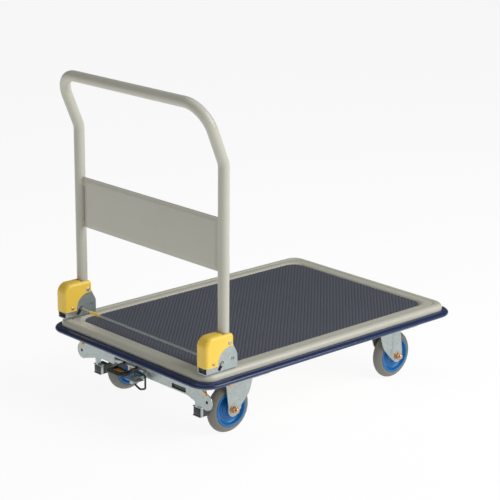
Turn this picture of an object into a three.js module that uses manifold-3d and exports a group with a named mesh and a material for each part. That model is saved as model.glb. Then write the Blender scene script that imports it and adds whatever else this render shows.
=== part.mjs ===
// Folding platform cart with a foot brake.
// Millimetres. +Z up, +X from the handle end to the far end, +Y across the cart.
// The origin is on the floor under the middle of the deck.
import * as THREE from 'three';
import { mergeVertices } from 'three/addons/utils/BufferGeometryUtils.js';
import Module from 'manifold-3d';

const wasm = await Module();
wasm.setup();

// ---------------------------------------------------------------- driving dimensions
const GAP = 0.3; // running gap between neighbouring pieces
const SHEET = 2.5; // pressed steel of brackets and channels

// deck: the outline of the painted steel, without the bumper
const DECK_LENGTH = 869;
const DECK_WIDTH = 596;
const DECK_CORNER = 38;
const DECK_RIM_Z = 210;
const DECK_FLOOR_Z = 202; // the recess that holds the mat
const DECK_UNDER_Z = 199.6; // underside of the recess floor
const DECK_LIP_Z = 166; // lower edge of the skirt
const MAT_INSET = 45.5;
const MAT_CORNER = 35;
const MAT_TOP_Z = 206;
const BUMPER_REACH = 18;
const BUMPER_LOW_Z = 176.8;
const BUMPER_TOP_Z = 192.3;

// wheels and casters
const WHEEL_RADIUS = 65;
const TYRE_WIDTH = 30;
const RIM_RADIUS = 48;
const WHEEL_FLATS = 20; // a wheel is faceted, and stands on a flat
const AXLE_RADIUS = 6;
const TRACK_HALF = 200;
const RIGID_AXLE_X = -275.5;
const SWIVEL_AXLE_X = 320;
const SWIVEL_PIVOT_X = 283;
const RIGID_PLATE_X = -258;
const CASTER_TOP_Z = 165.7;
const PLATE_THICK = 3;
const LEG_INNER = 21.5; // from the wheel's middle plane to a fork leg
const LEG_THICK = 3;

// handle
const TUBE_RADIUS = 14;
const TUBE_WALL = 2;
const UPRIGHT_X = -360;
const UPRIGHT_Y = 279.5;
const TUBE_FOOT_Z = 255;
const KINK_Z = 716;
const TOP_BAR_X = -420;
const TOP_BAR_Z = 860;
const TOP_CORNER_RADIUS = 68;
const KINK_RADIUS = 50;
const PANEL_LOW_Z = 450;
const PANEL_TOP_Z = 584;

// hinge: pivot pin, and the slot that the lock rod slides in
const PIVOT_X = -345;
const PIVOT_Z = 238;
const PIN_RADIUS = 4;
const ROD_RADIUS = 3;
const ROD_X = -380;
const ROD_Z = 231;
const ROD_TRAVEL = 13;
const SLOT_RISE = 2.5; // how far the slot goes on above the rod
const SLOT_RADIUS = 5;
const ROD_SLOPE = new THREE.Vector2(-0.545, -0.838).normalize();
const BRACKET_IN_Y = 262.6;
const BRACKET_OUT_Y = 296.5;
const BRACKET_FRONT_X = -427;
const BRACKET_BACK_X = -330;
const COVER_FRONT_X = -432;
const COVER_BACK_X = -347;
const COVER_LOW_Z = 229;
const COVER_TOP_Z = 304.5;
const COVER_WALL = 2.7;
const RIVET_RADIUS = 2.5;
const RIVET_HEAD = 5; // radius
const RIVET_HOLE = 2.8; // radius
const LOW_RIVET = [-408, 237.5]; // x, z
const TOP_RIVET = [-357, 280]; // x, z

// foot brake
const SHAFT_X = -372;
const SHAFT_Z = 128;
const SHAFT_RADIUS = 6;
const BEAM_X = -388; // front face of the cross beam
const SHOE_REACH = 5.5; // from the brake shoe to the tyre, brake off
const PEDAL_TILT = THREE.MathUtils.degToRad(15);

// ---------------------------------------------------------------- materials
function paint(color, roughness, metalness) {
  return new THREE.MeshStandardMaterial({ color, roughness, metalness });
}
const deckPaint = paint(0xbdb8a6, 0.45, 0.1);
const zincSteel = paint(0xb7c1c4, 0.4, 0.7);
const yellowPlastic = paint(0xe9c443, 0.4, 0);
const navyVinyl = paint(0x1b2547, 0.25, 0);
const matRubber = paint(0x474a5c, 0.8, 0);
const blueNylon = paint(0x1668b4, 0.35, 0);
const tyreRubber = paint(0x817d77, 0.7, 0);
const yellowZinc = paint(0xc98f63, 0.35, 0.8);
const darkSteel = paint(0x34363a, 0.5, 0.5);
const orangePad = paint(0xd98a1c, 0.5, 0);

const cart = new THREE.Group();

// ---------------------------------------------------------------- shape helpers
function addMesh(name, geometry, material) {
  const mesh = new THREE.Mesh(geometry, material);
  mesh.name = name;
  cart.add(mesh);
  return mesh;
}

// a closed mesh as a solid that can be cut and joined
function solid(geometry) {
  const bare = geometry.clone();
  bare.deleteAttribute('normal');
  bare.deleteAttribute('uv');
  const merged = mergeVertices(bare, 1e-4);
  return new wasm.Manifold(new wasm.Mesh({
    numProp: 3,
    vertProperties: new Float32Array(merged.attributes.position.array),
    triVerts: new Uint32Array(merged.index.array),
  }));
}

function geometryOf(manifold) {
  const mesh = manifold.getMesh();
  const geometry = new THREE.BufferGeometry();
  geometry.setAttribute('position', new THREE.BufferAttribute(new Float32Array(mesh.vertProperties), 3));
  geometry.setIndex(new THREE.BufferAttribute(new Uint32Array(mesh.triVerts), 1));
  return geometry;
}

function join(first, ...others) {
  return geometryOf(others.reduce((sum, other) => sum.add(solid(other)), solid(first)));
}

function cut(first, ...tools) {
  return geometryOf(tools.reduce((rest, tool) => rest.subtract(solid(tool)), solid(first)));
}

function box(x0, x1, y0, y1, z0, z1) {
  const geometry = new THREE.BoxGeometry(x1 - x0, y1 - y0, z1 - z0);
  return geometry.translate((x0 + x1) / 2, (y0 + y1) / 2, (z0 + z1) / 2);
}

// points in order, leaving out any that repeats the one before it round the outline
function distinct(points) {
  return points.filter((p, i) => p.distanceTo(points[(i + points.length - 1) % points.length]) > 1e-5);
}

// a prism of a shape; the outline is made to run one way round and its holes the other way
function prism(shape, depth, curveSegments) {
  const drawn = shape.extractPoints(curveSegments);
  const outline = distinct(drawn.shape);
  const outer = new THREE.Shape(THREE.ShapeUtils.isClockWise(outline) ? outline.reverse() : outline);
  drawn.holes.map(distinct).forEach((hole) => {
    outer.holes.push(new THREE.Path(THREE.ShapeUtils.isClockWise(hole) ? hole : hole.reverse()));
  });
  return new THREE.ExtrudeGeometry(outer, { depth, bevelEnabled: false });
}

// a shape drawn in x-z, given thickness from y0 to y1
function plateAcrossY(shape, y0, y1, curveSegments = 8) {
  return prism(shape, y1 - y0, curveSegments).rotateX(Math.PI / 2).translate(0, y1, 0);
}

// a shape drawn in y-z, given thickness from x0 to x1
function plateAcrossX(shape, x0, x1, curveSegments = 8) {
  return prism(shape, x1 - x0, curveSegments).rotateX(Math.PI / 2).rotateZ(Math.PI / 2).translate(x0, 0, 0);
}

// a shape drawn in x-y, given thickness from z0 to z1
function plateAcrossZ(shape, z0, z1, curveSegments = 8) {
  return prism(shape, z1 - z0, curveSegments).translate(0, 0, z0);
}

function polygon(points) {
  return new THREE.Shape(points.map(([a, b]) => new THREE.Vector2(a, b)));
}

function circleHole(a, b, radius) {
  return new THREE.Path().absarc(a, b, radius, 0, 2 * Math.PI, true);
}

function hexagon(radius) {
  const corners = [0, 1, 2, 3, 4, 5].map((k) => k * Math.PI / 3);
  return polygon(corners.map((a) => [radius * Math.cos(a), radius * Math.sin(a)]));
}

function roundedBox(halfA, halfB, radius, centreA = 0, centreB = 0) {
  const shape = new THREE.Shape();
  const a = halfA - radius;
  const b = halfB - radius;
  shape.absarc(centreA + a, centreB + b, radius, 0, Math.PI / 2);
  shape.absarc(centreA - a, centreB + b, radius, Math.PI / 2, Math.PI);
  shape.absarc(centreA - a, centreB - b, radius, Math.PI, 1.5 * Math.PI);
  shape.absarc(centreA + a, centreB - b, radius, 1.5 * Math.PI, 2 * Math.PI);
  return shape;
}

// a body turned about +Y from a closed [radius, y] profile
function turnedY(profile, segments) {
  const points = profile.map(([r, y]) => new THREE.Vector2(r, y));
  points.push(points[0].clone());
  return new THREE.LatheGeometry(points, segments);
}

function rodY(radius, y0, y1, x, z, segments = 16) {
  const geometry = new THREE.CylinderGeometry(radius, radius, y1 - y0, segments);
  return geometry.translate(x, (y0 + y1) / 2, z);
}

// Joins rings of points, each with the same count, into one closed skin.
// An open row of rings is capped at both ends; a looped one joins its last ring to its first.
function skin(rings, looped) {
  const count = rings[0].length;
  const positions = rings.flat().flatMap((p) => [p.x, p.y, p.z]);
  const index = [];
  const bands = looped ? rings.length : rings.length - 1;
  for (let i = 0; i < bands; i += 1) {
    const a = i * count;
    const b = ((i + 1) % rings.length) * count;
    for (let k = 0; k < count; k += 1) {
      const n = (k + 1) % count;
      index.push(a + k, a + n, b + n, a + k, b + n, b + k);
    }
  }
  if (!looped) {
    const last = (rings.length - 1) * count;
    for (let k = 1; k < count - 1; k += 1) {
      index.push(0, k + 1, k, last, last + k, last + k + 1);
    }
  }
  const geometry = new THREE.BufferGeometry();
  geometry.setAttribute('position', new THREE.BufferAttribute(new Float32Array(positions), 3));
  geometry.setIndex(index);
  return geometry;
}

// The deck's outline, moved outwards by `offset`, at height z. Inside the rolled edge its
// corners widen again towards the corners of the mat.
function deckLoop(offset, z, cornerSteps = 7) {
  const roll = -12;
  const inside = (roll - offset) / (roll + MAT_INSET);
  const rollRadius = DECK_CORNER + Math.max(offset, roll);
  const radius = offset > roll ? rollRadius : rollRadius + (MAT_CORNER - rollRadius) * inside;
  const cx = DECK_LENGTH / 2 + offset - radius;
  const cy = DECK_WIDTH / 2 + offset - radius;
  const loop = [];
  [[1, 1], [-1, 1], [-1, -1], [1, -1]].forEach(([sx, sy], corner) => {
    for (let k = 0; k <= cornerSteps; k += 1) {
      const angle = (corner + k / cornerSteps) * Math.PI / 2;
      loop.push(new THREE.Vector3(sx * cx + radius * Math.cos(angle), sy * cy + radius * Math.sin(angle), z));
    }
  });
  return loop;
}

// Points along a bent bar: straight runs between the corners, and an arc at each corner.
function bentPath(corners, radii, stepAngle, looped = false) {
  const count = corners.length;
  const path = [];
  corners.forEach((corner, i) => {
    if (!looped && (i === 0 || i === count - 1)) {
      path.push(corner);
      return;
    }
    const before = corners[(i + count - 1) % count].clone().sub(corner).normalize();
    const after = corners[(i + 1) % count].clone().sub(corner).normalize();
    const turn = Math.PI - before.angleTo(after);
    const reach = radii[i] * Math.tan(turn / 2);
    const centre = before.clone().add(after).normalize()
      .multiplyScalar(radii[i] / Math.cos(turn / 2)).add(corner);
    const start = before.multiplyScalar(reach).add(corner).sub(centre);
    const axis = start.clone().cross(after.multiplyScalar(reach).add(corner).sub(centre)).normalize();
    const steps = Math.max(1, Math.ceil(turn / stepAngle));
    for (let k = 0; k <= steps; k += 1) {
      path.push(start.clone().applyAxisAngle(axis, turn * k / steps).add(centre));
    }
  });
  return path;
}

// round rings square to a path, without twist
function ringsAlong(path, radius, sides, looped = false) {
  const count = path.length;
  const along = path.map((point, i) => {
    const next = path[looped ? (i + 1) % count : Math.min(i + 1, count - 1)];
    const last = path[looped ? (i + count - 1) % count : Math.max(i - 1, 0)];
    return next.clone().sub(last).normalize();
  });
  const up = Math.abs(along[0].z) < 0.9 ? new THREE.Vector3(0, 0, 1) : new THREE.Vector3(1, 0, 0);
  let side = up.cross(along[0]).normalize();
  return path.map((point, i) => {
    side = side.sub(along[i].clone().multiplyScalar(side.dot(along[i]))).normalize();
    const other = along[i].clone().cross(side);
    return Array.from({ length: sides }, (_, k) => {
      const angle = 2 * Math.PI * k / sides;
      return point.clone()
        .add(side.clone().multiplyScalar(radius * Math.cos(angle)))
        .add(other.clone().multiplyScalar(radius * Math.sin(angle)));
    });
  });
}

// the two ends of the same y range on one side of the cart
function sideRange(side, nearY, farY) {
  return side > 0 ? [nearY, farY] : [-farY, -nearY];
}

const SIDES = [[1, 'left'], [-1, 'right']];

// ---------------------------------------------------------------- deck
// Section of the pressed panel, as [offset from the outline, z]: from under the recess floor,
// inside the rim and skirt, round the lip, up the outside, over the rim and into the recess.
function deckPanel() {
  const recess = -MAT_INSET + GAP;
  const section = [
    [recess + 2.4, DECK_UNDER_Z],
    [recess + 2.4, DECK_FLOOR_Z + 1],
    [recess + 5.2, DECK_RIM_Z - 3.6],
    [recess + 9.7, DECK_RIM_Z - 2.4],
    [-12, DECK_RIM_Z - 2.4],
    [-6.5, DECK_RIM_Z - 4],
    [-3, DECK_RIM_Z - 8],
    [-5, BUMPER_TOP_Z + GAP],
    [-5, DECK_LIP_Z],
    [-3, DECK_LIP_Z],
    [-3, BUMPER_TOP_Z + GAP],
    [-0.6, BUMPER_TOP_Z + GAP],
    [0, DECK_RIM_Z - 9],
    [-1.5, DECK_RIM_Z - 4.5],
    [-5.5, DECK_RIM_Z - 1.3],
    [-12, DECK_RIM_Z],
    [recess + 9.7, DECK_RIM_Z],
    [recess + 3.7, DECK_RIM_Z - 1.5],
    [recess, DECK_FLOOR_Z + 2],
    [recess, DECK_FLOOR_Z],
  ];
  addMesh('deck_panel', skin(section.map(([offset, z]) => deckLoop(offset, z)), false), deckPaint);
}

function deckMat() {
  const low = DECK_FLOOR_Z + GAP;
  const loops = [
    [-MAT_INSET, low],
    [-MAT_INSET, MAT_TOP_Z - 1],
    [-MAT_INSET - 1, MAT_TOP_Z],
  ];
  addMesh('deck_mat', skin(loops.map(([offset, z]) => deckLoop(offset, z)), false), matRubber);
}

// a D-section band that grips the skirt under the rim
function edgeBumper() {
  const middle = (BUMPER_LOW_Z + BUMPER_TOP_Z) / 2;
  const half = (BUMPER_TOP_Z - BUMPER_LOW_Z) / 2;
  const inner = -3 + GAP;
  const crown = [-90, -60, -30, 0, 30, 60, 90].map((degrees) => {
    const angle = THREE.MathUtils.degToRad(degrees);
    return [5 + (BUMPER_REACH - 5) * Math.cos(angle), middle + half * Math.sin(angle)];
  });
  const section = [[inner, BUMPER_LOW_Z], ...crown, [inner, BUMPER_TOP_Z]];
  addMesh('edge_bumper', skin(section.map(([offset, z]) => deckLoop(offset, z)), true), navyVinyl);
}

// channels under the deck that the casters bolt to
function crossMember(name, x) {
  const half = 44;
  const low = CASTER_TOP_Z + GAP;
  const high = DECK_UNDER_Z - GAP;
  const shape = polygon([
    [x - half, low], [x + half, low], [x + half, high], [x + half - SHEET, high],
    [x + half - SHEET, low + SHEET], [x - half + SHEET, low + SHEET], [x - half + SHEET, high],
    [x - half, high],
  ]);
  const end = DECK_WIDTH / 2 - 8;
  addMesh(name, plateAcrossY(shape, -end, end), zincSteel);
}

// ---------------------------------------------------------------- wheels and casters
function wheel(name, x, y) {
  const inner = RIM_RADIUS - 5;
  const flange = TYRE_WIDTH / 2 - 5;
  const lip = TYRE_WIDTH / 2 + 1;
  const boss = LEG_INNER - 1.2;
  const bore = AXLE_RADIUS + GAP;
  const hub = [
    [bore, -boss], [14, -boss], [16, -6], [40, -5], [RIM_RADIUS - 6, -lip], [RIM_RADIUS, -lip],
    [RIM_RADIUS, -flange], [inner, -flange], [inner, flange], [RIM_RADIUS, flange], [RIM_RADIUS, lip],
    [RIM_RADIUS - 6, lip], [40, 5], [16, 6], [14, boss], [bore, boss],
  ];
  const half = TYRE_WIDTH / 2;
  const shoulder = half - GAP - flange;
  const seat = flange - GAP;
  const bead = RIM_RADIUS + GAP;
  const tyre = [
    [inner + GAP, -seat], [bead, -seat], [bead, -flange - shoulder], [54, -half], [61, -half + 4],
    [WHEEL_RADIUS, -5], [WHEEL_RADIUS, 5], [61, half - 4], [54, half], [bead, flange + shoulder],
    [bead, seat], [inner + GAP, seat],
  ];
  addMesh(`${name}_hub`, facetedWheel(hub).translate(x, y, WHEEL_RADIUS), blueNylon);
  addMesh(`${name}_tyre`, facetedWheel(tyre).translate(x, y, WHEEL_RADIUS), tyreRubber);
}

// the profile's radii are measured to the middle of the flats, and a flat is at the bottom
function facetedWheel(profile) {
  const step = Math.PI / WHEEL_FLATS;
  const points = profile.map(([r, y]) => new THREE.Vector2(r / Math.cos(step), y));
  return new THREE.LatheGeometry([...points, points[0].clone()], WHEEL_FLATS, step);
}

// the axle bolt's head is on the inner side and its nut on the outer side
function axle(name, x, y) {
  const outward = Math.sign(y);
  const legFace = LEG_INNER + LEG_THICK + GAP;
  const headRange = sideRange(-outward, legFace, legFace + 6);
  const nutRange = sideRange(outward, legFace, legFace + 11);
  const shankRange = sideRange(outward, -legFace - 1, legFace + 15);
  const head = plateAcrossY(hexagon(10), headRange[0], headRange[1]);
  const shank = rodY(AXLE_RADIUS, shankRange[0], shankRange[1], 0, 0, 14);
  const nutShape = hexagon(10);
  nutShape.holes.push(circleHole(0, 0, AXLE_RADIUS + GAP));
  const nut = plateAcrossY(nutShape, nutRange[0], nutRange[1], 7);
  addMesh(`${name}_axle_bolt`, join(shank, head).translate(x, y, WHEEL_RADIUS), yellowZinc);
  addMesh(`${name}_axle_nut`, nut.translate(x, y, WHEEL_RADIUS), yellowZinc);
}

// a fork leg: straight outer edge, round foot about the axle, slanted inner edge
function forkLeg(axleX, topZ, outwardX, legTopOuter, legTopInner, kinkInner, kinkInnerZ) {
  const footRadius = 18;
  const axleZ = WHEEL_RADIUS;
  const shape = new THREE.Shape();
  shape.moveTo(axleX + outwardX * legTopOuter, topZ);
  shape.lineTo(axleX + outwardX * footRadius, axleZ + 12);
  const startAngle = outwardX > 0 ? 0 : Math.PI;
  const endAngle = outwardX > 0 ? -0.72 * Math.PI : 1.72 * Math.PI;
  shape.absarc(axleX, axleZ, footRadius, startAngle, endAngle, outwardX > 0);
  shape.lineTo(axleX - outwardX * kinkInner, kinkInnerZ);
  shape.lineTo(axleX - outwardX * legTopInner, topZ);
  shape.holes.push(circleHole(axleX, axleZ, AXLE_RADIUS + GAP));
  return shape;
}

function forkLegs(shape, y) {
  return [-1, 1].map((side) => {
    const [low, high] = sideRange(side, LEG_INNER, LEG_INNER + LEG_THICK);
    return plateAcrossY(shape, y + low, y + high, 6);
  });
}

function rigidCaster(side, sideName) {
  const name = `rigid_${sideName}`;
  const y = side * TRACK_HALF;
  const plateShape = roundedBox(42, 40, 6, RIGID_PLATE_X, y);
  const plate = plateAcrossZ(plateShape, CASTER_TOP_Z - PLATE_THICK, CASTER_TOP_Z, 3);
  const shape = forkLeg(RIGID_AXLE_X, CASTER_TOP_Z - 1, -1, 28.5, 73.5, 57, 98);
  addMesh(`${name}_fork`, join(plate, ...forkLegs(shape, y)), zincSteel);
  axle(name, RIGID_AXLE_X, y);
  wheel(name, RIGID_AXLE_X, y);
}

// The top plate carries a bearing housing with the kingpin, and the fork turns under it.
function swivelCaster(side, sideName) {
  const name = `swivel_${sideName}`;
  const y = side * TRACK_HALF;
  const raceLow = CASTER_TOP_Z - PLATE_THICK - 10;
  const crownTop = raceLow - GAP;
  const crownLow = crownTop - 4;
  const kingpinRadius = 8;
  const plateShape = roundedBox(42, 40, 6, SWIVEL_PIVOT_X, y);
  const plate = plateAcrossZ(plateShape, CASTER_TOP_Z - PLATE_THICK, CASTER_TOP_Z, 3);
  addMesh(`${name}_top_plate`, plate, zincSteel);
  const raceTop = CASTER_TOP_Z - PLATE_THICK - GAP;
  const race = new THREE.LatheGeometry([
    new THREE.Vector2(0, crownLow - 5),
    new THREE.Vector2(kingpinRadius, crownLow - 5),
    new THREE.Vector2(kingpinRadius, raceLow),
    new THREE.Vector2(30, raceLow),
    new THREE.Vector2(32, raceLow + 4),
    new THREE.Vector2(24, raceTop),
    new THREE.Vector2(0, raceTop),
  ], 20);
  addMesh(`${name}_race`, race.rotateX(Math.PI / 2).translate(SWIVEL_PIVOT_X, y, 0), zincSteel);
  const crownHalf = LEG_INNER + LEG_THICK;
  const crown = box(
    SWIVEL_AXLE_X - 68, SWIVEL_AXLE_X + 8, y - crownHalf, y + crownHalf, crownLow, crownTop,
  );
  const kingpinHole = new THREE.CylinderGeometry(kingpinRadius + GAP, kingpinRadius + GAP, 20, 20)
    .rotateX(Math.PI / 2).translate(SWIVEL_PIVOT_X, y, crownLow);
  const shape = forkLeg(SWIVEL_AXLE_X, crownTop, 1, 8, 68, 49, 92);
  addMesh(`${name}_fork`, cut(join(crown, ...forkLegs(shape, y)), kingpinHole), zincSteel);
  axle(name, SWIVEL_AXLE_X, y);
  wheel(name, SWIVEL_AXLE_X, y);
}

// ---------------------------------------------------------------- hinge of the handle
function rodSlot() {
  const path = new THREE.Path();
  const top = new THREE.Vector2(ROD_X, ROD_Z).addScaledVector(ROD_SLOPE, -SLOT_RISE);
  const end = new THREE.Vector2(ROD_X, ROD_Z).addScaledVector(ROD_SLOPE, ROD_TRAVEL);
  const angle = Math.atan2(ROD_SLOPE.y, ROD_SLOPE.x);
  path.absarc(top.x, top.y, SLOT_RADIUS, angle - Math.PI / 2, angle + Math.PI / 2, true);
  path.absarc(end.x, end.y, SLOT_RADIUS, angle + Math.PI / 2, angle + 1.5 * Math.PI, true);
  return path;
}

// two side plates on one base, open to the front and to the deck's middle
function hingeBracket(side, sideName) {
  const shape = polygon([
    [BRACKET_FRONT_X, DECK_RIM_Z + GAP], [BRACKET_BACK_X, DECK_RIM_Z + GAP], [BRACKET_BACK_X, 247],
    [-346, 282], [-350, 295], [-355, 300], [-397, 300], [-411, 295.5], [-422, 285.5], [BRACKET_FRONT_X, 272],
  ]);
  shape.holes.push(rodSlot());
  shape.holes.push(circleHole(PIVOT_X, PIVOT_Z, PIN_RADIUS + GAP));
  shape.holes.push(circleHole(...LOW_RIVET, RIVET_HOLE));
  shape.holes.push(circleHole(...TOP_RIVET, RIVET_HOLE));
  const plates = [BRACKET_IN_Y, BRACKET_OUT_Y - SHEET].map((near) => {
    const [low, high] = sideRange(side, near, near + SHEET);
    return plateAcrossY(shape, low, high, 5);
  });
  const [low, high] = sideRange(side, BRACKET_IN_Y, BRACKET_OUT_Y);
  const base = box(BRACKET_FRONT_X, BRACKET_BACK_X, low, high, DECK_RIM_Z + GAP, DECK_RIM_Z + GAP + SHEET);
  addMesh(`hinge_bracket_${sideName}`, join(base, ...plates), zincSteel);
}

function coverOutline(inset, lowZ, backX) {
  const frontRadius = 27 - inset;
  const front = COVER_FRONT_X + inset;
  const top = COVER_TOP_Z - inset;
  const shape = new THREE.Shape();
  shape.moveTo(front, lowZ);
  shape.lineTo(backX, lowZ);
  shape.lineTo(backX, top - 7);
  shape.absarc(backX - 7, top - 7, 7, 0, Math.PI / 2);
  shape.absarc(front + frontRadius, top - frontRadius, frontRadius, Math.PI / 2, Math.PI);
  return shape;
}

// A shell over the bracket, open below, open to the middle of the deck, and slotted for the tube.
function hingeCover(side, sideName) {
  const [low, high] = sideRange(side, BRACKET_IN_Y - GAP - COVER_WALL, BRACKET_OUT_Y + GAP + COVER_WALL);
  const outer = plateAcrossY(coverOutline(0, COVER_LOW_Z, COVER_BACK_X), low, high, 6);
  const inner = plateAcrossY(coverOutline(COVER_WALL, 215, -320), low + COVER_WALL, high - COVER_WALL, 6);
  const cheekCut = rodY(39.6, low - 1, high + 1, -355, 232, 40);
  const belowCut = box(-355, -333, low - 1, high + 1, 220, 271.6);
  const [slotLow, slotHigh] = sideRange(side, UPRIGHT_Y - TUBE_RADIUS - 1, UPRIGHT_Y + TUBE_RADIUS + 1);
  const slot = box(UPRIGHT_X - TUBE_RADIUS - 1.2, -330, slotLow, slotHigh, 280, COVER_TOP_Z + 5);
  const rivetHoles = [LOW_RIVET, TOP_RIVET].map(([x, z]) => rodY(RIVET_HOLE, low - 1, high + 1, x, z, 12));
  const shell = cut(outer, inner, cheekCut, belowCut, slot, ...rivetHoles);
  addMesh(`hinge_cover_${sideName}`, shell, yellowPlastic);
}

function coverRivets(side, sideName) {
  const inFace = BRACKET_IN_Y - GAP - COVER_WALL - GAP;
  const outFace = BRACKET_OUT_Y + GAP + COVER_WALL + GAP;
  const crown = RIVET_HEAD - 1.1;
  const innerHead = [[0, inFace - 2], [crown, inFace - 1.6], [RIVET_HEAD, inFace], [RIVET_RADIUS, inFace]];
  const outerHead = [[RIVET_RADIUS, outFace], [RIVET_HEAD, outFace], [crown, outFace + 1.6], [0, outFace + 2]];
  const outerEnd = BRACKET_OUT_Y - SHEET - 0.6;
  const innerEnd = BRACKET_IN_Y + SHEET + 0.6;
  const long = turnedYSolid([...innerHead, ...outerHead]);
  const outer = turnedYSolid([[0, outerEnd], [RIVET_RADIUS, outerEnd], ...outerHead]);
  const inner = turnedYSolid([...innerHead, [RIVET_RADIUS, innerEnd], [0, innerEnd]]);
  [
    ['lower', long, LOW_RIVET, yellowZinc],
    ['upper_outer', outer, TOP_RIVET, zincSteel],
    ['upper_inner', inner, TOP_RIVET, zincSteel],
  ].forEach(([place, geometry, [x, z], finish]) => {
    const turned = side > 0 ? geometry : geometry.rotateX(Math.PI);
    addMesh(`cover_rivet_${place}_${sideName}`, turned.translate(x, 0, z), finish);
  });
}

function turnedYSolid(profile) {
  return new THREE.LatheGeometry(profile.map(([r, y]) => new THREE.Vector2(r, y)), 8);
}

function pivotPin(side, sideName) {
  const [low, high] = sideRange(side, BRACKET_IN_Y - 1.5, BRACKET_OUT_Y + 1.5);
  addMesh(`pivot_pin_${sideName}`, rodY(PIN_RADIUS, low, high, PIVOT_X, PIVOT_Z), zincSteel);
}

// the wound body of the torsion spring that keeps the lock rod up
function lockSpring(side, sideName) {
  const [low, high] = sideRange(side, BRACKET_IN_Y + SHEET + GAP, UPRIGHT_Y - 6);
  const ring = turnedY([[PIN_RADIUS + GAP, low], [7, low], [7, high], [PIN_RADIUS + GAP, high]], 12);
  addMesh(`lock_spring_${sideName}`, ring.translate(PIVOT_X, 0, PIVOT_Z), darkSteel);
}

function lockRod() {
  const end = BRACKET_OUT_Y + 3;
  addMesh('lock_rod', rodY(ROD_RADIUS, -end, end, ROD_X, ROD_Z, 12), zincSteel);
  const inner = ROD_RADIUS + GAP;
  const sleeve = turnedY([[inner, 181], [4.5, 181], [4.5, 220], [inner, 220]], 12);
  addMesh('lock_rod_sleeve', sleeve.translate(ROD_X, 0, ROD_Z), yellowPlastic);
}

// ---------------------------------------------------------------- handle
function handleTube() {
  const corners = [];
  for (const side of [1, -1]) {
    const upright = [
      new THREE.Vector3(UPRIGHT_X, side * UPRIGHT_Y, TUBE_FOOT_Z),
      new THREE.Vector3(UPRIGHT_X, side * UPRIGHT_Y, KINK_Z),
      new THREE.Vector3(TOP_BAR_X, side * UPRIGHT_Y, TOP_BAR_Z),
    ];
    corners.push(...(side > 0 ? upright : upright.reverse()));
  }
  const radii = [0, KINK_RADIUS, TOP_CORNER_RADIUS, TOP_CORNER_RADIUS, KINK_RADIUS, 0];
  const path = bentPath(corners, radii, THREE.MathUtils.degToRad(15));
  const outside = ringsAlong(path, TUBE_RADIUS, 12);
  const inside = ringsAlong(path, TUBE_RADIUS - TUBE_WALL, 12).reverse();
  addMesh('handle_tube', skin([...outside, ...inside], true), deckPaint);
}

// a pressed sheet between the uprights, with its sides folded back, welded on at four corner tabs
function handlePanel() {
  const edge = UPRIGHT_Y - TUBE_RADIUS - 5;
  const tab = UPRIGHT_Y - TUBE_RADIUS - GAP;
  const tabLow = PANEL_LOW_Z + 20;
  const tabTop = PANEL_TOP_Z - 20;
  const sheet = polygon([
    [-tab, PANEL_LOW_Z], [tab, PANEL_LOW_Z], [tab, tabLow], [edge, tabLow], [edge, tabTop], [tab, tabTop],
    [tab, PANEL_TOP_Z], [-tab, PANEL_TOP_Z], [-tab, tabTop], [-edge, tabTop], [-edge, tabLow], [-tab, tabLow],
  ]);
  const middle = (PANEL_LOW_Z + PANEL_TOP_Z) / 2;
  const halfHeight = (PANEL_TOP_Z - PANEL_LOW_Z) / 2;
  const field = roundedBox(edge - 10, halfHeight - 13, 8, 0, middle);
  const hollow = roundedBox(edge - 12, halfHeight - 15, 6, 0, middle);
  const plate = plateAcrossX(sheet, UPRIGHT_X - 1, UPRIGHT_X + 1);
  const raised = plateAcrossX(field, UPRIGHT_X - 3, UPRIGHT_X + 0.5, 4);
  const pressed = plateAcrossX(hollow, UPRIGHT_X - 1.2, UPRIGHT_X + 2, 4);
  const folds = [-1, 1].map((side) => {
    const [low, high] = sideRange(side, edge - 1.5, edge);
    return box(UPRIGHT_X - 1, UPRIGHT_X + 11, low, high, tabLow, tabTop);
  });
  addMesh('handle_panel', cut(join(plate, raised, ...folds), pressed), deckPaint);
}

// a forged lug: its stem is fixed in the tube's end and its eye turns on the pivot pin
function handleFoot(side, sideName) {
  const stemTop = TUBE_FOOT_Z + 35;
  const stemFront = UPRIGHT_X - 9.5;
  const stemBack = UPRIGHT_X + 9.5;
  const shape = new THREE.Shape();
  shape.moveTo(stemFront, stemTop);
  shape.lineTo(stemFront, PIVOT_Z + 5);
  shape.lineTo(UPRIGHT_X, PIVOT_Z - 9);
  shape.absarc(PIVOT_X, PIVOT_Z, 15, THREE.MathUtils.degToRad(232), THREE.MathUtils.degToRad(420), false);
  shape.lineTo(stemBack, TUBE_FOOT_Z - 0.6);
  shape.lineTo(stemBack, stemTop);
  shape.holes.push(circleHole(PIVOT_X, PIVOT_Z, PIN_RADIUS + GAP));
  const [low, high] = sideRange(side, UPRIGHT_Y - 5, UPRIGHT_Y + 5);
  addMesh(`handle_foot_${sideName}`, plateAcrossY(shape, low, high, 12), zincSteel);
}

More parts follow.
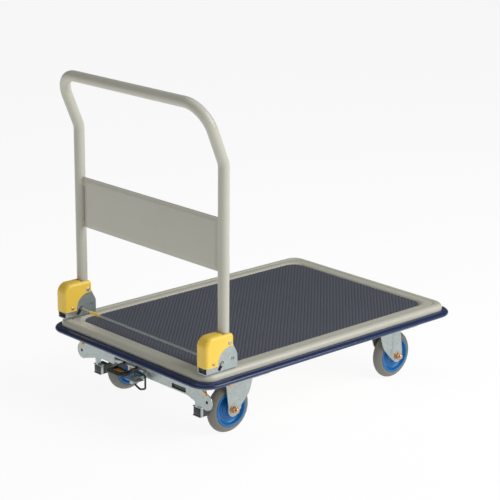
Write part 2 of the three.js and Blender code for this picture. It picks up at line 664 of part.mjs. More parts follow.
// ---------------------------------------------------------------- foot brake
// A beam under the handle end: round ears at its ends, two hangers up to the deck,
// a window over the pedal, and two bearing lugs for the shaft behind it.
function brakeBeam() {
  const earY = 248;
  const earZ = 121;
  const earRadius = 22;
  const hangerTop = DECK_UNDER_Z - GAP;
  const lowerTangent = THREE.MathUtils.degToRad(-60);
  const shape = new THREE.Shape();
  shape.moveTo(-178, 119);
  shape.lineTo(-earY + earRadius * Math.cos(lowerTangent), earZ + earRadius * Math.sin(lowerTangent));
  shape.absarc(-earY, earZ, earRadius, lowerTangent, Math.PI / 2, true);
  [[-226, 150], [-180, 150], [-180, hangerTop], [-120, hangerTop], [-120, 150], [120, 150], [120, hangerTop],
    [180, hangerTop], [180, 150], [226, 150]].forEach(([y, z]) => shape.lineTo(y, z));
  shape.absarc(earY, earZ, earRadius, Math.PI / 2, -Math.PI - lowerTangent, true);
  [[178, 119], [115, 119], [115, 142], [-22, 142], [-22, 119]].forEach(([y, z]) => shape.lineTo(y, z));
  shape.holes.push(polygon([[-172, 123], [-172, 135], [-118, 135], [-118, 123]]));
  shape.holes.push(circleHole(-earY - 3, earZ, 4));
  shape.holes.push(circleHole(earY + 3, earZ, 4));
  const front = plateAcrossX(shape, BEAM_X, BEAM_X + PLATE_THICK);
  const topFlange = box(BEAM_X, BEAM_X + 34, -215, 215, 150 - PLATE_THICK, 150);
  const webs = [[-215, -24], [117, 215]].map(([low, high]) => {
    return box(BEAM_X + 34 - PLATE_THICK, BEAM_X + 34, low, high, 122, 150);
  });
  const lugs = [-1, 1].map((side) => {
    const lug = new THREE.Shape();
    lug.moveTo(BEAM_X, SHAFT_Z - 10);
    lug.lineTo(SHAFT_X, SHAFT_Z - 10);
    lug.absarc(SHAFT_X, SHAFT_Z, 10, -Math.PI / 2, Math.PI / 2, false);
    lug.lineTo(BEAM_X, SHAFT_Z + 10);
    lug.holes.push(circleHole(SHAFT_X, SHAFT_Z, SHAFT_RADIUS + GAP));
    return plateAcrossY(lug, side * 216 - 1.5, side * 216 + 1.5);
  });
  addMesh('brake_beam', join(front, topFlange, ...webs, ...lugs), zincSteel);
}

// a cross shaft with one arm and shoe holder for each rigid wheel
function brakeShaft() {
  const holderBack = SHAFT_X + 5;
  const parts = [rodY(SHAFT_RADIUS, -224, 224, SHAFT_X, SHAFT_Z, 14)];
  for (const side of [-1, 1]) {
    const y = side * TRACK_HALF;
    parts.push(box(SHAFT_X - 6, SHAFT_X + 4, y - 4, y + 4, 90, SHAFT_Z));
    parts.push(box(SHAFT_X - 3, holderBack, y - 16, y + 16, 66, 94));
  }
  addMesh('brake_shaft', join(...parts), zincSteel);
  SIDES.forEach(([side, sideName]) => {
    const y = side * TRACK_HALF;
    const front = RIGID_AXLE_X - WHEEL_RADIUS - SHOE_REACH;
    addMesh(`brake_shoe_${sideName}`, box(holderBack + GAP, front, y - 15, y + 15, 67, 91), darkSteel);
  });
}

// a rib with an eye on the brake shaft, reaching forwards to tipX
function pedalRib(tipX, tipZ, depth) {
  const eye = SHAFT_RADIUS + 5;
  const shape = new THREE.Shape();
  shape.moveTo(tipX, tipZ - depth);
  shape.lineTo(SHAFT_X, SHAFT_Z - eye);
  shape.absarc(SHAFT_X, SHAFT_Z, eye, -Math.PI / 2, 0.9 * Math.PI, false);
  shape.lineTo(SHAFT_X - 18, tipZ + 8);
  shape.lineTo(tipX, tipZ);
  shape.holes.push(circleHole(SHAFT_X, SHAFT_Z, SHAFT_RADIUS + GAP));
  return shape;
}

// turned about the brake shaft, so that its front end rises
function tilted(geometry) {
  return geometry.translate(-SHAFT_X, 0, -SHAFT_Z).rotateY(PEDAL_TILT).translate(SHAFT_X, 0, SHAFT_Z);
}

function brakePedal() {
  const tip = -436;
  const low = 36;
  const high = 96;
  const corner = 12;
  const tread = new THREE.Shape();
  tread.moveTo(-396, low);
  tread.lineTo(-396, high);
  tread.lineTo(tip + corner, high);
  tread.absarc(tip + corner, high - corner, corner, Math.PI / 2, Math.PI, false);
  tread.absarc(tip + corner, low + corner, corner, Math.PI, 1.5 * Math.PI, false);
  const plate = plateAcrossZ(tread, 106, 109, 5);
  const ribs = [low + 5, high - 5].map((y) => plateAcrossY(pedalRib(tip + 10, 107.5, 7), y - 2, y + 2));
  addMesh('brake_pedal', tilted(join(plate, ...ribs)), darkSteel);
  const pad = plateAcrossZ(roundedBox(7, 16, 3, -416, 62), 109.3, 111, 3);
  addMesh('brake_pedal_pad', tilted(pad), orangePad);
  const toe = box(-430, -402, -27, 15, 117, 119.6);
  const blade = plateAcrossY(pedalRib(-428, 118, 9), -12, -2);
  addMesh('brake_release_lever', join(blade, toe), zincSteel);
}

// a wire stirrup that hangs over the release lever
function releaseStirrup() {
  const corners = [[-27, 130], [-27, 94], [-6, 86], [15, 94], [15, 130]]
    .map(([y, z]) => new THREE.Vector3(-398, y, z));
  const path = bentPath(corners, [6, 6, 6, 6, 6], THREE.MathUtils.degToRad(40), true);
  addMesh('release_stirrup', skin(ringsAlong(path, 3, 6, true), true), darkSteel);
}

function brakeReturnSpring() {
  const inner = SHAFT_RADIUS + GAP;
  const ring = turnedY([[inner, -112], [9.5, -112], [9.5, -84], [inner, -84]], 12);
  addMesh('brake_return_spring', ring.translate(SHAFT_X, 0, SHAFT_Z), darkSteel);
}

// ---------------------------------------------------------------- assembly
deckPanel();
deckMat();
edgeBumper();
crossMember('cross_member_handle_end', RIGID_PLATE_X);
crossMember('cross_member_far_end', SWIVEL_PIVOT_X);
SIDES.forEach(([side, sideName]) => {
  rigidCaster(side, sideName);
  swivelCaster(side, sideName);
  hingeBracket(side, sideName);
  hingeCover(side, sideName);
  coverRivets(side, sideName);
  pivotPin(side, sideName);
  lockSpring(side, sideName);
  handleFoot(side, sideName);
});
lockRod();
handleTube();
handlePanel();
brakeBeam();
brakeShaft();
brakePedal();
releaseStirrup();
brakeReturnSpring();

export default cart;
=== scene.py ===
# Folding platform cart: the detailed model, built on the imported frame.
# Shapes are worked out in millimetres, in the frame's own axes, and made in metres.
import math
import random

import bmesh
import bpy
from mathutils import Matrix, Vector


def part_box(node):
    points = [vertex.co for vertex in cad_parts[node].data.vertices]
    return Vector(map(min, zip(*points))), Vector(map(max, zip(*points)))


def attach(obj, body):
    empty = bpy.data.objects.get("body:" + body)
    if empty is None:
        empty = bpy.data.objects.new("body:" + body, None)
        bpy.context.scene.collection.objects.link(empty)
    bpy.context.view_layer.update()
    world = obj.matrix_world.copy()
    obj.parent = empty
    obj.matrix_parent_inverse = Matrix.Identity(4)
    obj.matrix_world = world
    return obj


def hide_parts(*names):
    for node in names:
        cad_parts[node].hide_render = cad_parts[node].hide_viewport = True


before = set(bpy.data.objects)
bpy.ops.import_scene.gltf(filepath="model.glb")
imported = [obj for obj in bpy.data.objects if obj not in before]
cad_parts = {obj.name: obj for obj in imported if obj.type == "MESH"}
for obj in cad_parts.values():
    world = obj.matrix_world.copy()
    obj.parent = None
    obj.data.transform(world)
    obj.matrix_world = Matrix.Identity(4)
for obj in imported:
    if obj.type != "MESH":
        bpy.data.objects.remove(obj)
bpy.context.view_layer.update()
scene = bpy.context.scene
MM = 0.001
SIDES = ((1, "left"), (-1, "right"))


def span(node):
    """The x, y and z ranges of a CAD node, in millimetres."""
    low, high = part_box(node)
    return [(a / MM, b / MM) for a, b in zip(low, high)]


def middle(pair):
    return (pair[0] + pair[1]) / 2


# ---------------------------------------------------------------- places, from the frame
DECK = span("deck_panel")
DECK_HALF_X = DECK[0][1]
DECK_HALF_Y = DECK[1][1]
LIP_Z, RIM_Z = DECK[2]
DECK_CORNER = 38
ROLL = -12
MAT = span("deck_mat")
MAT_TOP = MAT[2][1]
MAT_INSET = DECK_HALF_X - MAT[0][1]
MAT_CORNER = 35
BUMPER = span("edge_bumper")
BUMPER_REACH = BUMPER[0][1] - DECK_HALF_X
WHEEL_R = 65
TYRE_HALF = 15
TRACK = middle(span("rigid_left_hub")[1])
RIGID_X = middle(span("rigid_left_hub")[0])
SWIVEL_X = middle(span("swivel_left_hub")[0])
PIVOT_X = middle(span("swivel_left_race")[0])
PLATE_TOP = span("swivel_left_top_plate")[2][1]
PLATE_LOW = span("swivel_left_top_plate")[2][0]
PIN_X = middle(span("pivot_pin_left")[0])
PIN_Z = middle(span("pivot_pin_left")[2])
ROD_X = middle(span("lock_rod")[0])
ROD_Z = middle(span("lock_rod")[2])
ROD_END = span("lock_rod")[1][1]
BRACKET = span("hinge_bracket_left")
COVER = span("hinge_cover_left")
FOOT = span("handle_foot_left")
FOOT_Y = middle(FOOT[1])
PANEL = span("handle_panel")
UPRIGHT_X = PANEL[0][0] + 3
TUBE = span("handle_tube")
TUBE_R = 14
SHAFT_X = middle(span("brake_return_spring")[0])
SHAFT_Z = middle(span("brake_return_spring")[2])
BEAM = span("brake_beam")

# ---------------------------------------------------------------- details the frame doesn't name
KINK_Z = 716
KINK_RADIUS = 50
TOP_BEND_RADIUS = 68
FORK_HALF = 24.5
BOLT_FACE = FORK_HALF + 0.3
RIVETS = ((-408, 237.5), (-357, 280))
ROD_WAY = (-0.545, -0.838)
ROD_TRAVEL = 13
SLOT_R = 5
PANEL_EDGE = TUBE[1][1] - 2 * TUBE_R - 5
EAR_Y, EAR_Z, EAR_R = 248, 121, 21.8
FLANGE_HALF = 212
LUG_Y = 216
LUG_R = 10
PEDAL = ((-439, -399), (27, 87), (121.5, 124.5))
PEDAL_GRIP = ((-426, -411), (40, 68))
LEVER_Y = (-12, -2)
LEVER_TOE = (-430, -402)
STOP_BOLT = (-12, 137)
CLEAR_HOLE = 4.2
RIVET_HOLE = 2.7
COVER_WALL = 2.7
COVER_CUT = (-355, 232, 39.6)


# ---------------------------------------------------------------- shapes: (points, faces)
def loft(rings, looped=False):
    """One skin through rings of points; an open row of rings is closed with a face at each end."""
    count = len(rings[0])
    points = [p for ring in rings for p in ring]
    faces = []
    for i in range(len(rings) if looped else len(rings) - 1):
        a = i * count
        b = ((i + 1) % len(rings)) * count
        for k in range(count):
            n = (k + 1) % count
            faces.append((a + k, a + n, b + n, b + k))
    if not looped:
        last = (len(rings) - 1) * count
        faces.append(tuple(reversed(range(count))))
        faces.append(tuple(range(last, last + count)))
    return points, faces


def together(*shapes):
    points, faces = [], []
    for more_points, more_faces in shapes:
        start = len(points)
        points.extend(more_points)
        faces.extend(tuple(start + k for k in face) for face in more_faces)
    return points, faces


def moved(shape, x=0, y=0, z=0, turn=None):
    points = [Vector(p) for p in shape[0]]
    if turn is not None:
        points = [turn @ p for p in points]
    return [p + Vector((x, y, z)) for p in points], shape[1]


def arc(ca, cb, radius, start, end, steps=12):
    turn = [math.radians(start + (end - start) * k / steps) for k in range(steps + 1)]
    return [(ca + radius * math.cos(t), cb + radius * math.sin(t)) for t in turn]


def filleted(corners, radii, steps=6):
    """A polygon with each corner rounded to its own radius."""
    outline = []
    count = len(corners)
    for i, corner in enumerate(corners):
        radius = radii[i] if isinstance(radii, (list, tuple)) else radii
        here = Vector(corner)
        back = (Vector(corners[i - 1]) - here).normalized()
        ahead = (Vector(corners[(i + 1) % count]) - here).normalized()
        opening = back.angle(ahead)
        if radius <= 0 or opening > math.radians(176):
            outline.append(tuple(here))
            continue
        reach = radius / math.tan(opening / 2)
        centre = here + (back + ahead).normalized() * radius / math.sin(opening / 2)
        first = here + back * reach - centre
        side_of_turn = (here + ahead * reach - centre).to_3d().cross(first.to_3d()).z
        total = math.pi - opening
        for k in range(steps + 1):
            angle = total * k / steps * (1 if side_of_turn < 0 else -1)
            spun = Matrix.Rotation(angle, 2) @ first
            outline.append(tuple(centre + spun))
    return outline


def prism(outline, low, high, plane):
    """An outline in plane xz, yz or xy, given thickness along the third axis."""
    put = {
        "xz": lambda a, b, c: (a, c, b),
        "yz": lambda a, b, c: (c, a, b),
        "xy": lambda a, b, c: (a, b, c),
    }[plane]
    return loft([[put(a, b, c) for a, b in outline] for c in (low, high)])


def block(x, y, z, edge=1.5):
    """A box with rounded upright and level edges."""
    rings = []
    for level, inset in ((z[0], edge), (z[0] + edge * 0.3, edge * 0.3), (z[0] + edge, 0),
                         (z[1] - edge, 0), (z[1] - edge * 0.3, edge * 0.3), (z[1], edge)):
        corners = [(x[0] + inset, y[0] + inset), (x[1] - inset, y[0] + inset),
                   (x[1] - inset, y[1] - inset), (x[0] + inset, y[1] - inset)]
        rings.append([(a, b, level) for a, b in filleted(corners, edge, 3)])
    return loft(rings)


def lathe(profile, x, y, z, axis="y", segments=64, looped=False):
    """A profile of (radius, distance along the axis), turned about an axis through x, y, z."""
    rings = []
    for radius, along in profile:
        ring = []
        for k in range(segments):
            angle = 2 * math.pi * k / segments
            a, b = radius * math.cos(angle), radius * math.sin(angle)
            ring.append((x + a, y + along, z + b) if axis == "y" else
                        (x + along, y + a, z + b) if axis == "x" else (x + a, y + b, z + along))
        rings.append(ring)
    return loft(rings, looped)


def hexagon(x, y, z, size, low, high, axis="y", bevel=0.9):
    """A hexagon with its corners chamfered; size is across the corners, halved."""
    levels = ((low, size * 0.9), (low + bevel * 0.5, size), (high - bevel, size), (high, size * 0.88))
    rings = []
    for along, radius in levels:
        ring = []
        for k in range(6):
            angle = math.pi / 3 * k + math.pi / 6
            a, b = radius * math.cos(angle), radius * math.sin(angle)
            ring.append((x + a, y + along, z + b) if axis == "y" else
                        (x + along, y + a, z + b) if axis == "x" else (x + a, y + b, z + along))
        rings.append(ring)
    return loft(rings)


def thread(radius, low, high, pitch=1.25):
    """A profile for lathe(): the ridges of a screw thread with a chamfered end."""
    profile = [(radius * 0.3, low), (radius, low)]
    step = pitch if high > low else -pitch
    at = low
    while abs(high - at) > 2 * pitch:
        profile += [(radius, at + step * 0.3), (radius - 0.5, at + step * 0.65)]
        at += step
    return profile + [(radius, at + step * 0.4), (radius - 1.2, high), (radius * 0.3, high)]


def bent(corners, radii, step=4, looped=False):
    """Points along a bar: straight between its corners, with an arc at each."""
    path = []
    count = len(corners)
    for i, corner in enumerate(corners):
        here = Vector(corner)
        if not looped and i in (0, count - 1):
            path.append(here)
            continue
        back = (Vector(corners[i - 1]) - here).normalized()
        ahead = (Vector(corners[(i + 1) % count]) - here).normalized()
        total = math.pi - back.angle(ahead)
        reach = radii[i] * math.tan(total / 2)
        centre = here + (back + ahead).normalized() * radii[i] / math.cos(total / 2)
        first = here + back * reach - centre
        axis = first.cross(here + ahead * reach - centre).normalized()
        steps = max(2, math.ceil(math.degrees(total) / step))
        for k in range(steps + 1):
            path.append(centre + Matrix.Rotation(total * k / steps, 3, axis) @ first)
    return path


def sweep(path, radius, sides=24, looped=False):
    """A round bar along a path, without twist."""
    path = [Vector(p) for p in path]
    count = len(path)
    along = []
    for i in range(count):
        after = path[(i + 1) % count] if looped else path[min(i + 1, count - 1)]
        before = path[i - 1] if looped else path[max(i - 1, 0)]
        along.append((after - before).normalized())
    up = Vector((0, 0, 1)) if abs(along[0].z) < 0.9 else Vector((1, 0, 0))
    side = up.cross(along[0]).normalized()
    rings = []
    for point, way in zip(path, along):
        side = (side - way * side.dot(way)).normalized()
        other = way.cross(side)
        turn = [2 * math.pi * k / sides for k in range(sides)]
        rings.append([point + radius * (side * math.cos(t) + other * math.sin(t)) for t in turn])
    return loft(rings, looped)


def coil(radius, wire, low, high, turns, x, z, leg=None):
    """A spring wound about a line along y, with an optional straight leg from its last turn."""
    count = turns * 20
    path = []
    for k in range(count + 1):
        angle = 2 * math.pi * k / 20
        y = low + (high - low) * k / count
        path.append((x + radius * math.cos(angle), y, z + radius * math.sin(angle)))
    if leg:
        path.append((path[-1][0] + leg[0], path[-1][1], path[-1][2] + leg[1]))
    return sweep(path, wire, 10)


def u_section(low, high, web, end, thick, bend):
    """The section of a bent channel in y-z: its web's outer face is at web, its flanges reach end."""
    way = 1 if end > web else -1
    outer = [(low, end), (low, web), (high, web), (high, end)]
    inner = [(high - thick, end), (high - thick, web + way * thick),
             (low + thick, web + way * thick), (low + thick, end)]
    return filleted(outer + inner, [0, bend, bend, 0, 0, bend - thick, bend - thick, 0], 6)


def squared(low, high):
    return (low, high) if low < high else (high, low)


def to_side(side, near, far):
    """The y range from near to far out on one side of the cart."""
    return squared(side * near, side * far)


# ---------------------------------------------------------------- making objects
def new_mesh(name, shape):
    mesh = bpy.data.meshes.new(name)
    mesh.from_pydata([tuple(Vector(p) * MM) for p in shape[0]], [], shape[1])
    outward = bmesh.new()
    outward.from_mesh(mesh)
    bmesh.ops.recalc_face_normals(outward, faces=outward.faces)
    outward.to_mesh(mesh)
    outward.free()
    return mesh


def carved(shape, cuts=(), kept=()):
    """The mesh of a shape after others are cut from it, or it is kept only inside them."""
    blank = bpy.data.objects.new("blank", new_mesh("blank", shape))
    scene.collection.objects.link(blank)
    tools = []
    for operation, several in (("INTERSECT", kept), ("DIFFERENCE", cuts)):
        for each in several:
            tool = bpy.data.objects.new("tool", new_mesh("tool", each))
            scene.collection.objects.link(tool)
            tools.append(tool)
            step = blank.modifiers.new("step", "BOOLEAN")
            step.operation = operation
            step.solver = "EXACT"
            step.object = tool
    view = bpy.context.evaluated_depsgraph_get()
    mesh = bpy.data.meshes.new_from_object(blank.evaluated_get(view))
    for each in tools + [blank]:
        bpy.data.objects.remove(each)
    return mesh


def show(name, what, slot_name, body, stands_for=(), bevel=0.0, smooth=32):
    """Puts a finished shape or mesh in the scene, on its body and with its slot's material."""
    mesh = what if isinstance(what, bpy.types.Mesh) else new_mesh(name, what)
    mesh.name = name
    mesh.shade_smooth()
    mesh.set_sharp_from_angle(angle=math.radians(smooth))
    piece = bpy.data.objects.new(name, mesh)
    scene.collection.objects.link(piece)
    if bevel:
        edge = piece.modifiers.new("edges", "BEVEL")
        edge.width = bevel * MM
        edge.segments = 2
        edge.limit_method = "ANGLE"
        edge.angle_limit = math.radians(38)
        edge.harden_normals = True
    mesh.materials.clear()
    mesh.materials.append(MATERIALS[slot_name])
    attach(piece, body)
    if stands_for:
        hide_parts(*stands_for)
    return piece


# ---------------------------------------------------------------- materials
def material(name, colour, roughness, metallic=0.0, grain=400.0, relief=0.02, vary=0.06,
             coat=0.0, blotch=9.0, cells=0.0, rough_vary=0.12):
    """A finish whose colour, gloss and fine relief all vary with the place on the surface."""
    made = bpy.data.materials.new(name)
    made.use_nodes = True
    nodes, links = made.node_tree.nodes, made.node_tree.links
    surface = nodes["Principled BSDF"]
    place = nodes.new("ShaderNodeTexCoord")
    broad = nodes.new("ShaderNodeTexNoise")
    broad.inputs["Scale"].default_value = blotch
    broad.inputs["Detail"].default_value = 6
    links.new(place.outputs["Object"], broad.inputs["Vector"])
    mix = nodes.new("ShaderNodeMix")
    mix.data_type = "RGBA"
    mix.inputs["A"].default_value = (*[c * (1 - vary) for c in colour], 1)
    mix.inputs["B"].default_value = (*[min(1, c * (1 + vary)) for c in colour], 1)
    links.new(broad.outputs["Fac"], mix.inputs["Factor"])
    shade = mix.outputs["Result"]
    if cells:
        flakes = nodes.new("ShaderNodeTexVoronoi")
        flakes.inputs["Scale"].default_value = cells
        links.new(place.outputs["Object"], flakes.inputs["Vector"])
        grey = nodes.new("ShaderNodeMapRange")
        grey.inputs["To Min"].default_value = 0.86
        grey.inputs["To Max"].default_value = 1.06
        links.new(flakes.outputs["Color"], grey.inputs["Value"])
        tint = nodes.new("ShaderNodeMix")
        tint.data_type = "RGBA"
        tint.blend_type = "MULTIPLY"
        tint.inputs["Factor"].default_value = 1
        links.new(shade, tint.inputs["A"])
        links.new(grey.outputs["Result"], tint.inputs["B"])
        shade = tint.outputs["Result"]
    links.new(shade, surface.inputs["Base Color"])
    fine = nodes.new("ShaderNodeTexNoise")
    fine.inputs["Scale"].default_value = grain
    fine.inputs["Detail"].default_value = 3
    links.new(place.outputs["Object"], fine.inputs["Vector"])
    gloss = nodes.new("ShaderNodeMapRange")
    gloss.inputs["To Min"].default_value = max(0.03, roughness * (1 - rough_vary))
    gloss.inputs["To Max"].default_value = min(1, roughness * (1 + rough_vary))
    links.new(broad.outputs["Fac"], gloss.inputs["Value"])
    links.new(gloss.outputs["Result"], surface.inputs["Roughness"])
    bump = nodes.new("ShaderNodeBump")
    bump.inputs["Strength"].default_value = 0.5
    bump.inputs["Distance"].default_value = relief * MM
    links.new(fine.outputs["Fac"], bump.inputs["Height"])
    links.new(bump.outputs["Normal"], surface.inputs["Normal"])
    surface.inputs["Metallic"].default_value = metallic
    if coat:
        surface.inputs["Coat Weight"].default_value = coat
        surface.inputs["Coat Roughness"].default_value = 0.08
    return made


MATERIALS = {
    "deck_paint": material("deck_paint", (0.56, 0.55, 0.465), 0.3, grain=900, relief=0.008, vary=0.03),
    "zinc_steel": material("zinc_steel", (0.47, 0.525, 0.515), 0.36, 0.7, grain=700, relief=0.01, vary=0.07,
                           cells=160),
    "yellow_plastic": material("yellow_plastic", (0.97, 0.66, 0.085), 0.3, grain=1400, relief=0.008,
                               vary=0.03),
    "bumper_vinyl": material("bumper_vinyl", (0.012, 0.028, 0.095), 0.2, grain=300, relief=0.01, vary=0.12),
    "mat_rubber": material("mat_rubber", (0.088, 0.095, 0.122), 0.62, grain=1100, relief=0.06, vary=0.1),
    "hub_nylon": material("hub_nylon", (0.003, 0.15, 0.42), 0.34, grain=500, relief=0.02, vary=0.05),
    "tyre_rubber": material("tyre_rubber", (0.19, 0.185, 0.165), 0.6, grain=900, relief=0.05, vary=0.08),
    "yellow_zinc": material("yellow_zinc", (0.62, 0.42, 0.26), 0.3, 0.95, grain=600, relief=0.02, vary=0.12,
                            blotch=60),
    "dark_steel": material("dark_steel", (0.05, 0.053, 0.058), 0.24, 0.75, grain=700, relief=0.02, vary=0.15),
    "shoe_rubber": material("shoe_rubber", (0.05, 0.05, 0.05), 0.7, grain=900, relief=0.05, vary=0.1),
    "pad_rubber": material("pad_rubber", (0.62, 0.28, 0.05), 0.5, grain=900, relief=0.04, vary=0.06),
}


# ---------------------------------------------------------------- deck
def deck_loop(offset, z, steps=18):
    """The deck's outline moved outwards by offset; inside the rolled edge its corners widen to the mat's."""
    rolled = DECK_CORNER + max(offset, ROLL)
    inside = max(0, (ROLL - offset) / (ROLL + MAT_INSET))
    radius = rolled + (MAT_CORNER - rolled) * inside
    loop = []
    for quarter, (sx, sy) in enumerate(((1, 1), (-1, 1), (-1, -1), (1, -1))):
        centre = (sx * (DECK_HALF_X + offset - radius), sy * (DECK_HALF_Y + offset - radius))
        loop += [(a, b, z) for a, b in arc(*centre, radius, 90 * quarter, 90 * quarter + 90, steps)]
    return loop


def deck_panel():
    """A pressed sheet: recess floor, raised rim with a crease along it, rolled edge and skirt."""
    band = BUMPER[2][1] + 0.3
    recess = -MAT_INSET + 0.3
    lip = LIP_Z + 4.5
    under = [(recess + 2.4, 199.6), (recess + 2.4, 203), (-40, 206), (-35.5, 206.6), (-14, 207),
             (-7, 206), (-3.4, 202.4), (-3, 200), (-5, band + 0.6), (-5, lip + 0.6), (-4.6, lip)]
    outside = [(-3.4, lip), (-3, lip + 0.6), (-3, band), (-0.5, band)]
    rolled = arc(ROLL, RIM_Z - 12, 12, 2, 90, 14)
    crease = [(-17, RIM_Z), (-18.4, RIM_Z - 0.25), (-19.4, RIM_Z - 0.9), (-20.3, RIM_Z - 1.75),
              (-21.2, RIM_Z - 1.9), (-22.2, RIM_Z - 1.6), (-23.6, RIM_Z - 1.3), (-26, RIM_Z - 1.2)]
    inside = [(-34.5, RIM_Z - 1.1), (-37.5, RIM_Z - 1.2), (-39.6, RIM_Z - 1.9), (-41.4, RIM_Z - 3.1),
              (-43, RIM_Z - 4.7), (-44.3, RIM_Z - 6.2), (recess, RIM_Z - 7.4), (recess, RIM_Z - 8)]
    section = under + outside + rolled + crease + inside
    rings = [deck_loop(offset, z) for offset, z in section]
    show("deck_sheet", loft(rings), "deck_paint", "chassis", ("deck_panel",), smooth=40)


def deck_mat():
    """A rubber mat with diagonal ribs, cut to the recess."""
    low = MAT[2][0]
    half_x, half_y = MAT[0][1], MAT[1][1]
    corner = MAT_CORNER
    pitch = 8.5
    ridge = ((0, -0.2), (0.25, 0), (0.5, -0.2), (0.6, -0.9), (0.75, -1.1), (0.9, -0.9))

    def chord(offset):
        """Where the line y - x = offset * sqrt(2) leaves the rounded outline, both ways."""
        ends = []
        for way in (1, -1):
            low_t, high_t = 0.0, 1200.0
            base = Vector((-offset, offset)) / math.sqrt(2)
            across = Vector((1, 1)) / math.sqrt(2) * way
            start = nearest_inside(base)
            if start is None:
                return None
            for _ in range(40):
                mid = (low_t + high_t) / 2
                if is_inside(start + across * mid):
                    low_t = mid
                else:
                    high_t = mid
            ends.append(start + across * low_t)
        return ends

    def is_inside(p):
        dx = abs(p.x) - (half_x - corner)
        dy = abs(p.y) - (half_y - corner)
        if dx <= 0 or dy <= 0:
            return dx <= corner and dy <= corner
        return math.hypot(dx, dy) <= corner

    def nearest_inside(base):
        """A point of the diagonal line that is inside the outline."""
        along = Vector((1, 1)) / math.sqrt(2)
        for t in range(0, 460, 2):
            for way in (1, -1):
                p = base + along * t * way
                if is_inside(p):
                    return p
        return None

    reach = (half_x + half_y) / math.sqrt(2)
    tops, points, faces = [], [], []
    count = int(reach // pitch) + 1
    for k in range(-count, count + 1):
        for part, drop in ridge:
            ends = chord((k + part) * pitch)
            if ends:
                tops.append((ends, MAT_TOP + drop))
    for (a, b), z in tops:
        points += [(a.x, a.y, z), (b.x, b.y, z), (a.x, a.y, low), (b.x, b.y, low)]
    for i in range(len(tops) - 1):
        s, n = 4 * i, 4 * i + 4
        faces += [(s, s + 1, n + 1, n), (s + 2, n + 2, n + 3, s + 3),
                  (s, n, n + 2, s + 2), (s + 1, s + 3, n + 3, n + 1)]
    last = 4 * (len(tops) - 1)
    faces += [(0, 2, 3, 1), (last, last + 1, last + 3, last + 2)]
    show("ribbed_mat", (points, faces), "mat_rubber", "chassis", ("deck_mat",), smooth=28)


def edge_bumper():
    low, top = BUMPER[2]
    inner = -2.7
    half = (top - low) / 2
    crown = [(5 + (BUMPER_REACH - 5) * a, (low + top) / 2 + half * b)
             for a, b in arc(0, 0, 1, -90, 90, 22)]
    section = [(inner, low), (1, low), (3, low)] + crown + [(3, top), (1, top), (inner, top)]
    rings = [deck_loop(offset, z) for offset, z in section]
    show("bumper_band", loft(rings, looped=True), "bumper_vinyl", "chassis", ("edge_bumper",), smooth=50)


def cross_members():
    for node in ("cross_member_handle_end", "cross_member_far_end"):
        (x0, x1), (y0, y1), (z0, z1) = span(node)
        side = filleted([(x0, z1), (x0, z0), (x1, z0), (x1, z1), (x1 - 2.5, z1), (x1 - 2.5, z0 + 2.5),
                         (x0 + 2.5, z0 + 2.5), (x0 + 2.5, z1)], [0, 4, 4, 0, 0, 1.5, 1.5, 0], 5)
        shape = prism(side, y0, y1, "xz")
        holes = [lathe([(9, -6), (9, 6)], middle((x0, x1)), y, z0, axis="z", segments=32)
                 for y in (-95, 0, 95)]
        show(node + "_channel", carved(shape, cuts=holes), "zinc_steel", "chassis", (node,), bevel=0.4)


# ---------------------------------------------------------------- wheels
def wheel(name, x, y, body):
    """A dished nylon hub with a rounded rim and two beads, and a crowned tyre round it."""
    boss = 20.3
    dish = [(14, boss), (14.6, boss - 0.5), (15.2, 15), (16.4, 11.4), (19, 8.2), (24, 6), (30, 5.2),
            (35, 5.6), (38.5, 7.4), (40.8, 10.4), (42, 13.6), (42.8, 15.2), (44, 15.9), (46, 16),
            (47.4, 15.6), (48, 14.6), (48, 13), (43.5, 12.6)]
    profile = [(6.3, boss), *dish, *[(r, -a) for r, a in reversed(dish)], (6.3, -boss)]
    shells = [lathe(profile, x, y, WHEEL_R, segments=120, looped=True)]
    for radius, reach in ((29, 6), (22, 7.6)):
        bead = [(radius - 0.9, reach - 1.2), (radius - 0.5, reach), (radius + 0.5, reach),
                (radius + 0.9, reach - 1.2)]
        for way in (1, -1):
            ring = [(r, way * a) for r, a in bead]
            shells.append(lathe(ring, x, y, WHEEL_R, segments=96, looped=True))
    show(f"{name}_hub_moulding", together(*shells), "hub_nylon", body, (f"{name}_hub",), smooth=40)
    side = [(43.8, -12.3), (48.3, -12.3), (48.3, -14.2), (49, -14.7), (51, -TYRE_HALF), (53, -14.6),
            (55.5, -13.3), (58, -11.5), (60.2, -9.6), (62, -7.6), (63.5, -5.3), (64.5, -3), (64.93, -1.2),
            (WHEEL_R, -0.2)]
    profile = side + [(r, -a) for r, a in reversed(side)]
    tread = lathe(profile, x, y, WHEEL_R, segments=144, looped=True)
    show(f"{name}_tyre_moulding", tread, "tyre_rubber", body, (f"{name}_tyre",), smooth=40)


